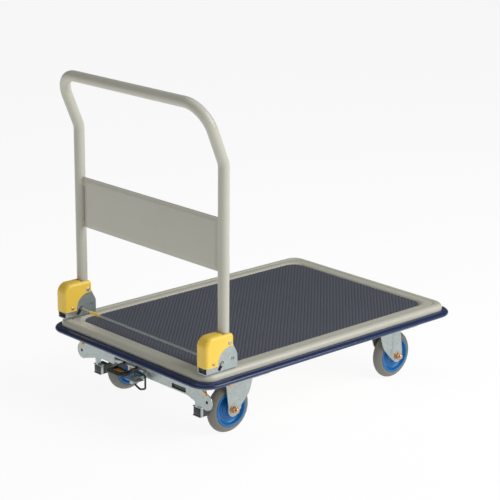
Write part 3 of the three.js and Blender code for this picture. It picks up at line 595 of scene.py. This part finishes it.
def axle_set(name, x, y, body):
    """A bolt with its head inside and a locking nut on the threaded end outside."""
    outward = 1 if y > 0 else -1
    face = BOLT_FACE
    head = hexagon(x, y, WHEEL_R, 10, *squared(-outward * (face + 0.6), -outward * (face + 6)))
    washer = lathe([(6.2, -outward * face), (11.5, -outward * face), (11.5, -outward * (face + 1)),
                    (6.2, -outward * (face + 1))], x, y, WHEEL_R, looped=True, segments=40)
    shank = lathe(thread(5.9, outward * (face - 4), outward * (face + 15)), x, y, WHEEL_R, segments=32)
    core = lathe([(5.9, -outward * face), (5.9, outward * (face - 3))], x, y, WHEEL_R, segments=32)
    show(f"{name}_bolt", together(head, washer, core, shank), "yellow_zinc", body,
         (f"{name}_axle_bolt",), bevel=0.2)
    nut = hexagon(x, y, WHEEL_R, 10, *squared(outward * (face + 1.2), outward * (face + 10)), bevel=1.4)
    collar = lathe([(6, outward * (face + 9.6)), (8.6, outward * (face + 9.4)), (8.1, outward * (face + 11)),
                    (6, outward * (face + 11.2))], x, y, WHEEL_R, segments=40, looped=True)
    flange = lathe([(6, outward * face), (12.4, outward * face), (12.2, outward * (face + 1.2)),
                    (6, outward * (face + 1.8))], x, y, WHEEL_R, segments=40, looped=True)
    show(f"{name}_nut", together(nut, collar, flange), "yellow_zinc", body, (f"{name}_axle_nut",), bevel=0.2)


def leg_outline(x, top, outward, top_outer, top_inner, knee, knee_z):
    """A fork leg from the side: straight outer edge, round foot, curved inner edge."""
    foot = 18
    start, end = (180, 305) if outward < 0 else (360, 235)
    round_foot = arc(x, WHEEL_R, foot, start, end, 20)
    inner = [round_foot[-1], (x - outward * knee, knee_z), (x - outward * top_inner, top)]
    hollow = filleted(inner, [0, 40, 0], 10)
    return [(x + outward * top_outer, top), (x + outward * foot, WHEEL_R + 12)] + round_foot[:-1] + hollow


def pressed_fork(x, y, top, outward, outline, crease):
    """A channel with bent shoulders, cut to the leg's outline and creased down each leg."""
    half = FORK_HALF
    section = u_section(y - half, y + half, top, 40, 3, 9)
    blank = prism(section, x - 90, x + 90, "yz")
    side = prism(outline, y - 40, y + 40, "xz")
    notches = [lathe([(4, -40), (4, 40)], crease - outward * 9, y, top - 1, segments=24)]
    mesh = carved(blank, cuts=notches, kept=[side])
    shaped = bmesh.new()
    shaped.from_mesh(mesh)
    for line in (crease, crease - outward * 3):
        parts = shaped.verts[:] + shaped.edges[:] + shaped.faces[:]
        bmesh.ops.bisect_plane(shaped, geom=parts, plane_co=(line * MM, 0, 0), plane_no=(1, 0, 0))
    for vert in shaped.verts:
        across = vert.co.y / MM - y
        past = -outward * (vert.co.x / MM - crease)
        if past > 0 and vert.co.z / MM < top - 2:
            fade = min(1, (top - 2 - vert.co.z / MM) / 14)
            vert.co.y -= math.copysign(min(past * 1.5, 4.5) * fade, across) * MM
    shaped.to_mesh(mesh)
    shaped.free()
    return mesh


def plate(x, y, half_x, half_y):
    outline = filleted([(x - half_x, y - half_y), (x + half_x, y - half_y), (x + half_x, y + half_y),
                        (x - half_x, y + half_y)], 7, 6)
    return prism(outline, PLATE_LOW, PLATE_TOP, "xy")


def plate_bolts(name, x, y, body="chassis"):
    for end, dx in (("near", -33), ("far", 33)):
        for which, dy in (("a", -32.5), ("b", 32.5)):
            a, b = x + dx, y + dy
            low = PLATE_LOW
            head = hexagon(a, b, 0, 6.2, low - 5.2, low - 1, axis="z", bevel=0.8)
            washer = lathe([(3, low - 1), (7, low - 1), (7, low - 0.1), (3, low - 0.1)], a, b, 0,
                           axis="z", segments=28, looped=True)
            tail = lathe(thread(3, low - 6, low - 10, 0.9), a, b, 0, axis="z", segments=20)
            show(f"{name}_plate_bolt_{end}_{which}", together(head, washer, tail), "yellow_zinc", body,
                 bevel=0.15)


def rigid_caster(side, side_name):
    name = f"rigid_{side_name}"
    y = side * TRACK
    x = RIGID_X
    outline = leg_outline(x, PLATE_LOW, -1, 28.5, 73.5, 57, 98)
    mesh = pressed_fork(x, y, PLATE_LOW, -1, outline, x + 24)
    plate_x = middle(span("cross_member_handle_end")[0])
    show(f"{name}_fork_pressing", mesh, "zinc_steel", "chassis", (f"{name}_fork",), bevel=0.5)
    show(f"{name}_plate", plate(plate_x, y, 42, 40), "zinc_steel", "chassis", bevel=0.6)
    plate_bolts(name, plate_x, y)
    face = y + side * FORK_HALF
    bolt_x, bolt_z = x + STOP_BOLT[0], STOP_BOLT[1]
    head = hexagon(bolt_x, face, bolt_z, 7.2, *squared(side * 0.9, side * 5.4))
    washer = lathe([(3, 0), (9, 0), (9, side), (3, side)], bolt_x, face, bolt_z, looped=True, segments=36)
    bolt = together(head, washer)
    show(f"{name}_stop_bolt", bolt, "yellow_zinc", "chassis", bevel=0.2)
    axle_set(name, x, y, "chassis")
    wheel(name, x, y, f"rigid_wheel_{side_name}")


def swivel_caster(side, side_name):
    name = f"swivel_{side_name}"
    y = side * TRACK
    x = SWIVEL_X
    crown_top = span(f"{name}_fork")[2][1]
    outline = leg_outline(x, crown_top, 1, 8, 68, 49, 92)
    mesh = pressed_fork(x, y, crown_top, 1, outline, x - 14)
    show(f"{name}_fork_pressing", mesh, "zinc_steel", f"swivel_{side_name}", (f"{name}_fork",),
         bevel=0.5)
    show(f"{name}_plate", plate(PIVOT_X, y, 42, 40), "zinc_steel", "chassis", (f"{name}_top_plate",),
         bevel=0.6)
    plate_bolts(name, PIVOT_X, y)
    low = crown_top + 0.3
    profile = [(4, low), (24, low), (29.5, low + 0.6), (31.5, low + 2.4), (31.8, low + 4.2),
               (30.6, low + 5.2), (29, low + 5.6), (29, low + 6.2), (30.4, low + 6.6), (29, low + 8.6),
               (25, low + 9.7), (4, low + 9.7)]
    race = lathe(profile, PIVOT_X, y, 0, axis="z", segments=64)
    show(f"{name}_ball_race", race, "zinc_steel", "chassis", (f"{name}_race",), smooth=40)
    under = crown_top - 3
    nut = hexagon(PIVOT_X, y, 0, 12, under - 6, under - 0.4, axis="z", bevel=1)
    pin = lathe([(3, under - 8), (6, under - 8), (6.6, under - 7.2), (6.6, under), (3, under)], PIVOT_X, y, 0,
                axis="z", segments=32)
    show(f"{name}_kingpin_nut", together(nut, pin), "zinc_steel", f"swivel_{side_name}", bevel=0.2)
    axle_set(name, x, y, f"swivel_{side_name}")
    wheel(name, x, y, f"swivel_wheel_{side_name}")


# ---------------------------------------------------------------- hinge and lock
def slot_tool(low, high):
    """The slot that the lock rod slides in, as a solid to cut with."""
    way = Vector(ROD_WAY).normalized()
    top = Vector((ROD_X, ROD_Z)) - way * 2.5
    end = Vector((ROD_X, ROD_Z)) + way * ROD_TRAVEL
    lean = math.degrees(math.atan2(way.y, way.x))
    upper = arc(top.x, top.y, SLOT_R, lean + 90, lean + 270, 10)
    lower = arc(end.x, end.y, SLOT_R, lean - 90, lean + 90, 10)
    return prism(upper + lower, low, high, "xz")


def hinge_bracket(side, side_name):
    low, high = to_side(side, BRACKET[1][0], BRACKET[1][1])
    (x0, x1), z = BRACKET[0], BRACKET[2]
    section = u_section(low, high, z[0], z[1] + 5, 2.5, 4.5)
    outline = filleted([(x0, z[0] - 1), (x1, z[0] - 1), (x1, 247), (-347, 280), (-353, 291), (-360, 294),
                        (-395, 294), (-408, 290), (-418, 279), (-423, 262), (x0, 238)],
                       [0, 0, 8, 14, 4, 4, 12, 10, 10, 20, 10], 5)
    hole = lathe([(CLEAR_HOLE, low - 5), (CLEAR_HOLE, high + 5)], PIN_X, 0, PIN_Z)
    cuts = [slot_tool(low - 5, high + 5), hole]
    bore = [(RIVET_HOLE, low - 5), (RIVET_HOLE, high + 5)]
    cuts += [lathe(bore, x, 0, at, segments=24) for x, at in RIVETS]
    mesh = carved(prism(section, x0, x1, "yz"), cuts=cuts, kept=[prism(outline, low - 5, high + 5, "xz")])
    show(f"bracket_pressing_{side_name}", mesh, "zinc_steel", "chassis",
         (f"hinge_bracket_{side_name}",), bevel=0.4)
    heads = []
    for x in (-411, -341):
        heads.append(hexagon(x, side * FOOT_Y, 0, 5.6, z[0] + 2.6, z[0] + 6.6, axis="z", bevel=0.7))
    show(f"bracket_bolts_{side_name}", together(*heads), "yellow_zinc", "chassis", bevel=0.15)


def cover_outline(inset, low, back):
    """The cover from the side, drawn in by inset: a round front top and a tight back top."""
    front, top = COVER[0][0] + inset, COVER[2][1] - inset
    corner = 27 - inset
    shoulder = max(0.6, 7 - inset)
    return [(front, low), (back, low), *arc(back - shoulder, top - shoulder, shoulder, 0, 90, 6),
            *arc(front + corner, top - corner, corner, 90, 180, 14)]


def cover_body(low, high, wall, bottom, back, edge):
    """The cover's outline between two cheeks, with the cheeks' edges rounded."""
    rings = []
    turn = [90 * k / 6 for k in range(7)]
    for angle in turn:
        inset = edge * (1 - math.sin(math.radians(angle)))
        along = low + edge * (1 - math.cos(math.radians(angle)))
        rings.append((along, inset))
    for angle in reversed(turn):
        inset = edge * (1 - math.sin(math.radians(angle)))
        along = high - edge * (1 - math.cos(math.radians(angle)))
        rings.append((along, inset))
    return loft([[(a, y, b) for a, b in cover_outline(wall + inset, bottom, back)] for y, inset in rings])


def hinge_cover(side, side_name):
    low, high = to_side(side, COVER[1][0], COVER[1][1])
    back = COVER[0][1]
    wall = COVER_WALL
    cut_x, cut_z, cut_r = COVER_CUT
    outer = cover_body(low, high, 0, COVER[2][0], back, 10)
    inner = cover_body(low + wall, high - wall, wall, 205, -310, 8)
    cuts = [
        inner,
        lathe([(cut_r, low - 5), (cut_r, high + 5)], cut_x, 0, cut_z, segments=96),
        prism([(cut_x, 215), (-333, 215), (-333, cut_z + cut_r), (cut_x, cut_z + cut_r)], low - 5, high + 5,
              "xz"),
        prism(filleted([(UPRIGHT_X - 15.2, 280), (-320, 280), (-320, 320), (UPRIGHT_X - 15.2, 320)], 0.5, 2),
              side * FOOT_Y - 15, side * FOOT_Y + 15, "xz"),
    ]
    bore = [(RIVET_HOLE, low - 5), (RIVET_HOLE, high + 5)]
    cuts += [lathe(bore, x, 0, at, segments=24) for x, at in RIVETS]
    show(f"cover_moulding_{side_name}", carved(outer, cuts=cuts), "yellow_plastic", "chassis",
         (f"hinge_cover_{side_name}",), smooth=35)


def dome(way, face, x, z, head=4.6, reach=2.5):
    """A rivet's end: a domed head standing on a face, with its shank going the other way."""
    profile = [(1, face - way * reach), (2.6, face - way * reach), (2.6, face), (head, face),
               (head - 0.2, face + way * 0.6), (head - 1.2, face + way * 1.4),
               (head - 2.8, face + way * 1.85), (0.4, face + way * 1.95)]
    return lathe(profile, x, 0, z, segments=32)


def rivets(side, side_name):
    inner, outer = COVER[1]
    lower_x, lower_z = RIVETS[0]
    upper_x, upper_z = RIVETS[1]
    bar = lathe([(2.5, side * inner), (2.5, side * outer)], lower_x, 0, lower_z, segments=24)
    ends = [dome(side, side * outer, lower_x, lower_z), dome(-side, side * inner, lower_x, lower_z)]
    long = together(*ends, bar)
    show(f"rivet_lower_{side_name}", long, "yellow_zinc", "chassis", (f"cover_rivet_lower_{side_name}",))
    for which, way, face in (("outer", side, side * outer), ("inner", -side, side * inner)):
        shape = dome(way, face, upper_x, upper_z, 5.4, 5)
        show(f"rivet_upper_{which}_{side_name}", shape, "zinc_steel", "chassis",
             (f"cover_rivet_upper_{which}_{side_name}",))


def pivot(side, side_name):
    low, high = BRACKET[1]
    profile = [(2.6, low + 1), (3.2, low - 1.5), (3.7, low - 1.5), (4, low - 1), (4, high + 1),
               (3.7, high + 1.5), (3.2, high + 1.5), (2.6, high - 1)]
    pin = lathe([(r, side * a) for r, a in profile], PIN_X, 0, PIN_Z, segments=40)
    show(f"pivot_{side_name}", pin, "zinc_steel", "chassis", (f"pivot_pin_{side_name}",))
    (y0, y1) = to_side(side, low + 3, FOOT_Y - 6.4)
    spring = coil(5.4, 0.8, y0 + 0.9, y1 - 0.9, 5, PIN_X, PIN_Z, leg=(-9, 7))
    show(f"lock_spring_wire_{side_name}", spring, "dark_steel", "chassis", (f"lock_spring_{side_name}",))


def lock_rod():
    end = ROD_END
    profile = [(1.4, -end), (2.3, -end), (3, -end + 0.8), (3, -end + 2), (2.5, -end + 2.1), (2.5, -end + 3.1),
               (3, -end + 3.2)]
    bar = lathe(profile + [(r, -a) for r, a in reversed(profile)], ROD_X, 0, ROD_Z, segments=36)
    clips = [lathe([(2.5, y - 0.4), (4.5, y - 0.4), (4.5, y + 0.4), (2.5, y + 0.4)], ROD_X, 0, ROD_Z,
                   segments=28, looped=True) for y in (-end + 2.6, end - 2.6)]
    show("lock_rod_bar", together(bar, *clips), "zinc_steel", "lock_bar", ("lock_rod",), bevel=0.1)
    low, high = span("lock_rod_sleeve")[1]
    profile = [(3.1, low), (3.8, low), (4.1, low + 0.6)]
    for k in range(1, 6):
        at = low + (high - low) * k / 6
        profile += [(4.1, at - 1.2), (3.8, at - 0.6), (3.8, at + 0.6), (4.1, at + 1.2)]
    profile += [(4.1, high - 0.6), (3.8, high), (3.1, high)]
    grip = lathe(profile, ROD_X, 0, ROD_Z, segments=36, looped=True)
    show("lock_rod_grip", grip, "yellow_plastic", "lock_bar", ("lock_rod_sleeve",))


# ---------------------------------------------------------------- handle
def handle_tube():
    top_x = TUBE[0][0] + TUBE_R
    top_z = TUBE[2][1] - TUBE_R
    y = TUBE[1][1] - TUBE_R
    foot = TUBE[2][0]
    corners = [(UPRIGHT_X, y, foot), (UPRIGHT_X, y, KINK_Z), (top_x, y, top_z),
               (top_x, -y, top_z), (UPRIGHT_X, -y, KINK_Z), (UPRIGHT_X, -y, foot)]
    radii = [0, KINK_RADIUS, TOP_BEND_RADIUS, TOP_BEND_RADIUS, KINK_RADIUS, 0]
    path = bent(corners, radii, step=3)
    show("handle_loop", sweep(path, TUBE_R, 48), "deck_paint", "handle", ("handle_tube",), bevel=0.6)


def handle_foot(side, side_name):
    low, high = to_side(side, *FOOT[1])
    z1 = FOOT[2][1]
    front, back = UPRIGHT_X - 9.5, UPRIGHT_X + 9.5
    eye = arc(PIN_X, PIN_Z, 15, 232, 420, 28)
    outline = [(front, z1), (front, PIN_Z + 5), (UPRIGHT_X, PIN_Z - 9), *eye, (back, 254.4), (back, z1)]
    hole = lathe([(CLEAR_HOLE, low - 5), (CLEAR_HOLE, high + 5)], PIN_X, 0, PIN_Z, segments=40)
    mesh = carved(prism(outline, low, high, "xz"), cuts=[hole])
    show(f"foot_forging_{side_name}", mesh, "zinc_steel", "handle", (f"handle_foot_{side_name}",),
         bevel=1.0)


def panel_ring(x, side_inset, end_inset, radius):
    """The panel's rounded outline at one depth, drawn in from its sides and ends."""
    y = PANEL_EDGE - side_inset
    low, high = PANEL[2][0] + end_inset, PANEL[2][1] - end_inset
    corners = [(-y, low), (y, low), (y, high), (-y, high)]
    return [(x, a, b) for a, b in filleted(corners, radius, 6)]


def handle_panel():
    """A thin sheet pressed forwards inside its edges, with a tab at each corner."""
    front = PANEL[0][0]
    back = UPRIGHT_X + 1
    face = [(back, 0.6, 0.6, 3), (back - 0.9, 0, 0, 3), (back - 1.6, 0.2, 0.2, 3), (back - 2, 1, 1.5, 3),
            (back - 2.2, 5.4, 4, 4), (back - 2.9, 6.6, 8, 5), (front + 0.3, 7.8, 10.6, 6),
            (front, 9.6, 12.6, 6)]
    rear = [(front + 1.4, 11, 13.6, 6), (front + 1.7, 9, 11.6, 6), (back - 0.9, 7, 8, 5),
            (back - 0.3, 6, 4, 4), (back, 4.6, 3, 4)]
    rings = [panel_ring(x, s, e, r) for x, s, e, r in rear + face]
    shells = [loft(rings)]
    edge = PANEL_EDGE
    for side in (1, -1):
        fold = to_side(side, edge - 1.6, edge)
        shells.append(block((back - 1.6, PANEL[0][1]), fold, (PANEL[2][0] + 20, PANEL[2][1] - 20), 0.7))
        for z in ((PANEL[2][0] + 0.6, PANEL[2][0] + 20), (PANEL[2][1] - 20, PANEL[2][1] - 0.6)):
            shells.append(block((back - 1.8, back - 0.1), to_side(side, edge - 4, edge + 6.5), z, 0.7))
    show("panel_pressing", together(*shells), "deck_paint", "handle", ("handle_panel",), smooth=30)


def panel_welds():
    """Rows of weld beads where the panel's corner tabs meet the uprights."""
    edge = TUBE[1][1] - 2 * TUBE_R
    back = UPRIGHT_X + 1
    lumps = []
    for side in (1, -1):
        for z in (PANEL[2][0] + 3, PANEL[2][1] - 17):
            for k in range(6):
                ball = [(0.2, -2.4), (1.5, -1.9), (2.3, -0.9), (2.5, 0), (2.3, 0.9), (1.5, 1.9), (0.2, 2.4)]
                lump = lathe(ball, 0, 0, 0, axis="z", segments=14)
                wobble = random.uniform(-0.25, 0.25)
                lumps.append(moved(lump, back - 3 + wobble, side * (edge - 0.6 + wobble), z + 2.8 * k))
    show("panel_weld_beads", together(*lumps), "deck_paint", "handle", smooth=60)


# ---------------------------------------------------------------- foot brake
def brake_beam():
    """The channel across the cart, with its round ears, hangers, lugs and bolts."""
    x0 = BEAM[0][0]
    hanger = BEAM[2][1]
    outline = [(-178, 119), *arc(-EAR_Y, EAR_Z, EAR_R, -60, -270, 26), (-226, 150), (-180, 150),
               (-176, hanger), (-124, hanger), (-120, 150), (120, 150), (124, hanger), (176, hanger),
               (180, 150), (226, 150), *arc(EAR_Y, EAR_Z, EAR_R, 90, -120, 26), (178, 119), (115, 119),
               (112, 142), (-19, 142), (-22, 119)]
    cuts = [prism(filleted([(-172, 123), (-118, 123), (-118, 135), (-172, 135)], 3, 5), x0 - 5, x0 + 8, "yz")]
    for side in (1, -1):
        cuts.append(lathe([(4, -10), (4, 10)], x0, side * (EAR_Y + 3), EAR_Z, axis="x", segments=28))
        cuts.append(lathe([(5, -10), (5, 10)], x0, side * 150, 178, axis="x", segments=28))
    front = carved(prism(outline, x0, x0 + 3, "yz"), cuts=cuts)
    show("beam_front", front, "zinc_steel", "chassis", ("brake_beam",), bevel=0.6)
    # Painted shade: dark steel plates behind the slot window and the ear holes make these openings look
    # shaded
    dark = [block((x0 + 3.1, x0 + 5), (-174, -116), (121, 137), 0.6)]
    disc = [(0.5, 3.1), (6.5, 3.1), (6.5, 5), (0.5, 5)]
    dark += [lathe(disc, x0, side * (EAR_Y + 3), EAR_Z, axis="x", segments=28) for side in (1, -1)]
    show("beam_painted_shade_backing", together(*dark), "dark_steel", "chassis", bevel=0.2)
    bend = filleted([(x0 + 0.2, 140), (x0 + 0.2, 150), (x0 + 34, 150), (x0 + 34, 147), (x0 + 3, 147),
                     (x0 + 3, 140)], [0, 5, 0.8, 0.8, 2, 0], 6)
    upright = filleted([(x0 + 31, 107), (x0 + 34, 107), (x0 + 34, 148), (x0 + 31, 148)], 0.8, 3)
    webs = [prism(upright, low, high, "xz") for low, high in ((-FLANGE_HALF, -24), (117, FLANGE_HALF))]
    flange = together(prism(bend, -FLANGE_HALF, FLANGE_HALF, "xz"), *webs)
    show("beam_flange", flange, "zinc_steel", "chassis", bevel=0.3)
    for side, side_name in SIDES:
        y = side * LUG_Y
        lug = [(x0 + 2, SHAFT_Z - LUG_R), *arc(SHAFT_X, SHAFT_Z, LUG_R, -90, 90, 18),
               (x0 + 2, SHAFT_Z + LUG_R)]
        shell = prism(lug, y - 1.5, y + 1.5, "xz")
        bush = lathe([(6.4, -4), (9, -4), (9, 4), (6.4, 4)], SHAFT_X, y, SHAFT_Z, segments=36, looped=True)
        show(f"beam_lug_{side_name}", together(shell, bush), "zinc_steel", "chassis", bevel=0.4)
        head = hexagon(x0, side * (EAR_Y - 1), 143, 5.8, -6, -0.9, axis="x")
        washer = lathe([(3, -1), (6.6, -1), (6.6, 0), (3, 0)], x0, side * (EAR_Y - 1), 143, axis="x",
                       segments=32, looped=True)
        show(f"beam_bolt_{side_name}", together(head, washer), "yellow_zinc", "chassis", bevel=0.2)


def brake_shaft():
    """The shaft with an arm and a shoe holder at each wheel, and the shoes."""
    y = span("brake_shaft")[1][1]
    profile = [(2, -y), (5, -y), (6, -y + 1), (6, -y + 4), (5.2, -y + 4.2), (5.2, -y + 5.4), (6, -y + 5.6)]
    profile += [(r, -a) for r, a in reversed(profile)]
    shells = [lathe(profile, SHAFT_X, 0, SHAFT_Z, segments=40)]
    grip_pads_and_shade_plates = []
    for side in (1, -1):
        at = side * TRACK
        arm = [*arc(SHAFT_X, SHAFT_Z, 10, -20, 200, 18), (SHAFT_X - 6, 92), (SHAFT_X + 4, 92)]
        shells.append(prism(arm, at - 4, at + 4, "xz"))
        shells.append(block((SHAFT_X - 3, SHAFT_X + 5), (at - 15, at + 15), (66, 92), 1.6))
        # Painted shade: a dark steel plate on each holder's front face stands for the shade on it, leaving
        # light zinc edges round it
        grip_pads_and_shade_plates.append(block((SHAFT_X - 5, SHAFT_X - 2.6), (at - 12, at + 12), (69.5, 88.5), 1))
        for z in (66, 90):
            shells.append(block((SHAFT_X - 6, SHAFT_X + 8.6), (at - 14.5, at + 14.5), (z, z + 2.2), 0.8))
    show("brake_shaft_and_arms", together(*shells), "zinc_steel", "brake", ("brake_shaft",), bevel=0.3)
    show("brake_holder_painted_shade", together(*grip_pads_and_shade_plates), "dark_steel", "brake", bevel=0.3)
    for side, side_name in SIDES:
        (x0, x1), ys, (z0, z1) = span(f"brake_shoe_{side_name}")
        face = []
        for k in range(4):
            at = z0 + 3.2 + (z1 - z0 - 6.4) * k / 3
            face += [(x1, at - 1.4), (x1 - 1.8, at - 0.9), (x1 - 1.8, at + 0.9), (x1, at + 1.4)]
        outline = [(x0, z0 + 2.8), (x0 + 4, z0 + 2.8), (x0 + 4, z0), (x1 - 1, z0), *face, (x1 - 1, z1),
                   (x0 + 4, z1), (x0 + 4, z1 - 2.8), (x0, z1 - 2.8)]
        show(f"brake_block_{side_name}", prism(outline, ys[0], ys[1], "xz"), "shoe_rubber", "brake",
             (f"brake_shoe_{side_name}",), bevel=0.5)


def rib_outline(tip_x, tip_z, depth):
    """A rib from the side: round the brake shaft at one end, under a tread at the other."""
    return [(tip_x + 1, tip_z - depth), *arc(SHAFT_X, SHAFT_Z, 11, -90, 162, 30), (SHAFT_X - 18, tip_z + 8),
            (tip_x + 2, tip_z), (tip_x, tip_z - 2), (tip_x, tip_z - depth + 1)]


def pedal():
    """The pedal with its raised lip and grip, and the smaller release lever beside it."""
    (x0, x1), (y0, y1), (low, top) = PEDAL
    outline = filleted([(x0, y0), (x1, y0), (x1, y1), (x0, y1)], [12, 2, 2, 12], 10)
    shells = [prism(outline, low, top, "xy")]
    lip = filleted([(x0 + 1, y0 + 1), (x1 - 1, y0 + 1), (x1 - 1, y1 - 1), (x0 + 1, y1 - 1)],
                   [11, 2, 2, 11], 10)
    shells.append(sweep([(a, b, top - 0.8) for a, b in lip], 1.5, 12, looped=True))
    for k in range(5):
        y = y0 + 10 + (y1 - y0 - 20) * k / 4
        shells.append(block((x0 + 31, x0 + 36), (y - 3.4, y + 3.4), (top - 0.6, top + 1), 0.6))
    for y in (y0 + 5, y1 - 5):
        shells.append(prism(rib_outline(x0 + 10, top - 1, 7), y - 2, y + 2, "xz"))
    show("pedal_pressing", together(*shells), "dark_steel", "brake", ("brake_pedal",), bevel=0.5)
    (px0, px1), (py0, py1) = PEDAL_GRIP
    grip_pads_and_shade_plates = [block((px0, px1), (py0, py1), (top + 0.3, top + 1.4), 0.5)]
    for k in range(4):
        y = py0 + 4 + (py1 - py0 - 8) * k / 3
        grip_pads_and_shade_plates.append(block((px0 + 1.5, px1 - 1.5), (y - 2.2, y + 2.2), (top + 1, top + 2), 0.4))
    show("pedal_grip", together(*grip_pads_and_shade_plates), "pad_rubber", "brake", ("brake_pedal_pad",), smooth=30)
    low_y, high_y = LEVER_Y
    blade = prism(rib_outline(LEVER_TOE[0] + 2, 118, 9), low_y, high_y, "xz")
    toe = block(LEVER_TOE, (low_y - 15, high_y + 17), (117, 119.6), 1.2)
    grips = []
    for k in range(5):
        x = LEVER_TOE[0] + 3 + 5.2 * k
        grips.append(block((x, x + 3), (low_y - 11, high_y + 13), (119.2, 120.4), 0.5))
    show("release_blade", together(blade, toe, *grips), "zinc_steel", "brake", ("brake_release_lever",),
         bevel=0.4)


def stirrup():
    (x0, x1), (y0, y1), (z0, z1) = span("release_stirrup")
    x = middle((x0, x1))
    wire = 2.6
    corners = [(x, y0 + 3, z1 - 3), (x, y0 + 3, z0 + 10), (x, middle((y0, y1)), z0 + 3), (x, y1 - 3, z0 + 10),
               (x, y1 - 3, z1 - 3)]
    path = bent(corners, [6, 7, 10, 7, 6], step=12, looped=True)
    show("stirrup_wire", sweep(path, wire, 20, looped=True), "dark_steel", "brake", ("release_stirrup",))


def return_spring():
    low, high = span("brake_return_spring")[1]
    spring = coil(7.6, 1.2, low + 1.3, high - 1.3, 9, SHAFT_X, SHAFT_Z, leg=(6, 14))
    show("return_spring_wire", spring, "dark_steel", "chassis", ("brake_return_spring",))


# ---------------------------------------------------------------- stage
def stage():
    mesh = bpy.data.meshes.new("floor")
    far = 40
    mesh.from_pydata([(-far, -far, 0), (far, -far, 0), (far, far, 0), (-far, far, 0)], [], [(0, 1, 2, 3)])
    floor = bpy.data.objects.new("floor", mesh)
    scene.collection.objects.link(floor)
    pale = bpy.data.materials.new("pale_floor")
    pale.use_nodes = True
    surface = pale.node_tree.nodes["Principled BSDF"]
    surface.inputs["Base Color"].default_value = (0.12, 0.12, 0.12, 1)
    surface.inputs["Roughness"].default_value = 0.9
    surface.inputs["Specular IOR Level"].default_value = 0.1
    surface.inputs["Emission Color"].default_value = (1, 1, 1, 1)
    surface.inputs["Emission Strength"].default_value = 0.9
    mesh.materials.append(pale)
    world = bpy.data.worlds.new("studio")
    world.use_nodes = True
    sky = world.node_tree.nodes["Background"]
    sky.inputs["Color"].default_value = (1, 1, 1, 1)
    sky.inputs["Strength"].default_value = 0.15
    scene.world = world


def softbox(name, place, aim, size, power):
    light = bpy.data.lights.new(name, "AREA")
    light.shape = "RECTANGLE"
    light.size, light.size_y = size
    light.energy = power
    lamp = bpy.data.objects.new(name, light)
    scene.collection.objects.link(lamp)
    lamp.location = place
    lamp.rotation_euler = (Vector(aim) - Vector(place)).to_track_quat("-Z", "Y").to_euler()


def camera():
    azimuth, elevation = math.radians(-42.4893), math.radians(16.3792)
    roll = math.radians(0.4241)
    target = Vector((-0.0197, 0, 0.3799))
    back = Vector((math.sin(azimuth) * math.cos(elevation), -math.cos(azimuth) * math.cos(elevation),
                   math.sin(elevation)))
    right = Vector((0, 0, 1)).cross(back).normalized()
    up = back.cross(right)
    rolled_right = right * math.cos(roll) + up * math.sin(roll)
    rolled_up = up * math.cos(roll) - right * math.sin(roll)
    lens = bpy.data.cameras.new("camera")
    lens.lens = 121.78
    lens.sensor_width = 36
    eye = bpy.data.objects.new("camera", lens)
    scene.collection.objects.link(eye)
    turn = Matrix((rolled_right, rolled_up, back)).transposed().to_4x4()
    eye.matrix_world = Matrix.Translation(target + back * 4.4436) @ turn
    scene.camera = eye


random.seed(7)
deck_panel()
deck_mat()
edge_bumper()
cross_members()
for side, side_name in SIDES:
    rigid_caster(side, side_name)
    swivel_caster(side, side_name)
    hinge_bracket(side, side_name)
    hinge_cover(side, side_name)
    rivets(side, side_name)
    pivot(side, side_name)
    handle_foot(side, side_name)
lock_rod()
handle_tube()
handle_panel()
panel_welds()
brake_beam()
brake_shaft()
pedal()
stirrup()
return_spring()
stage()
softbox("key", (1.6, -3.4, 2.6), (0, 0, 0.35), (3.2, 3.2), 150)
softbox("top", (-0.3, 0.2, 3.6), (0, 0, 0.2), (3.0, 3.0), 26)
camera()
scene.view_settings.view_transform = "Standard"
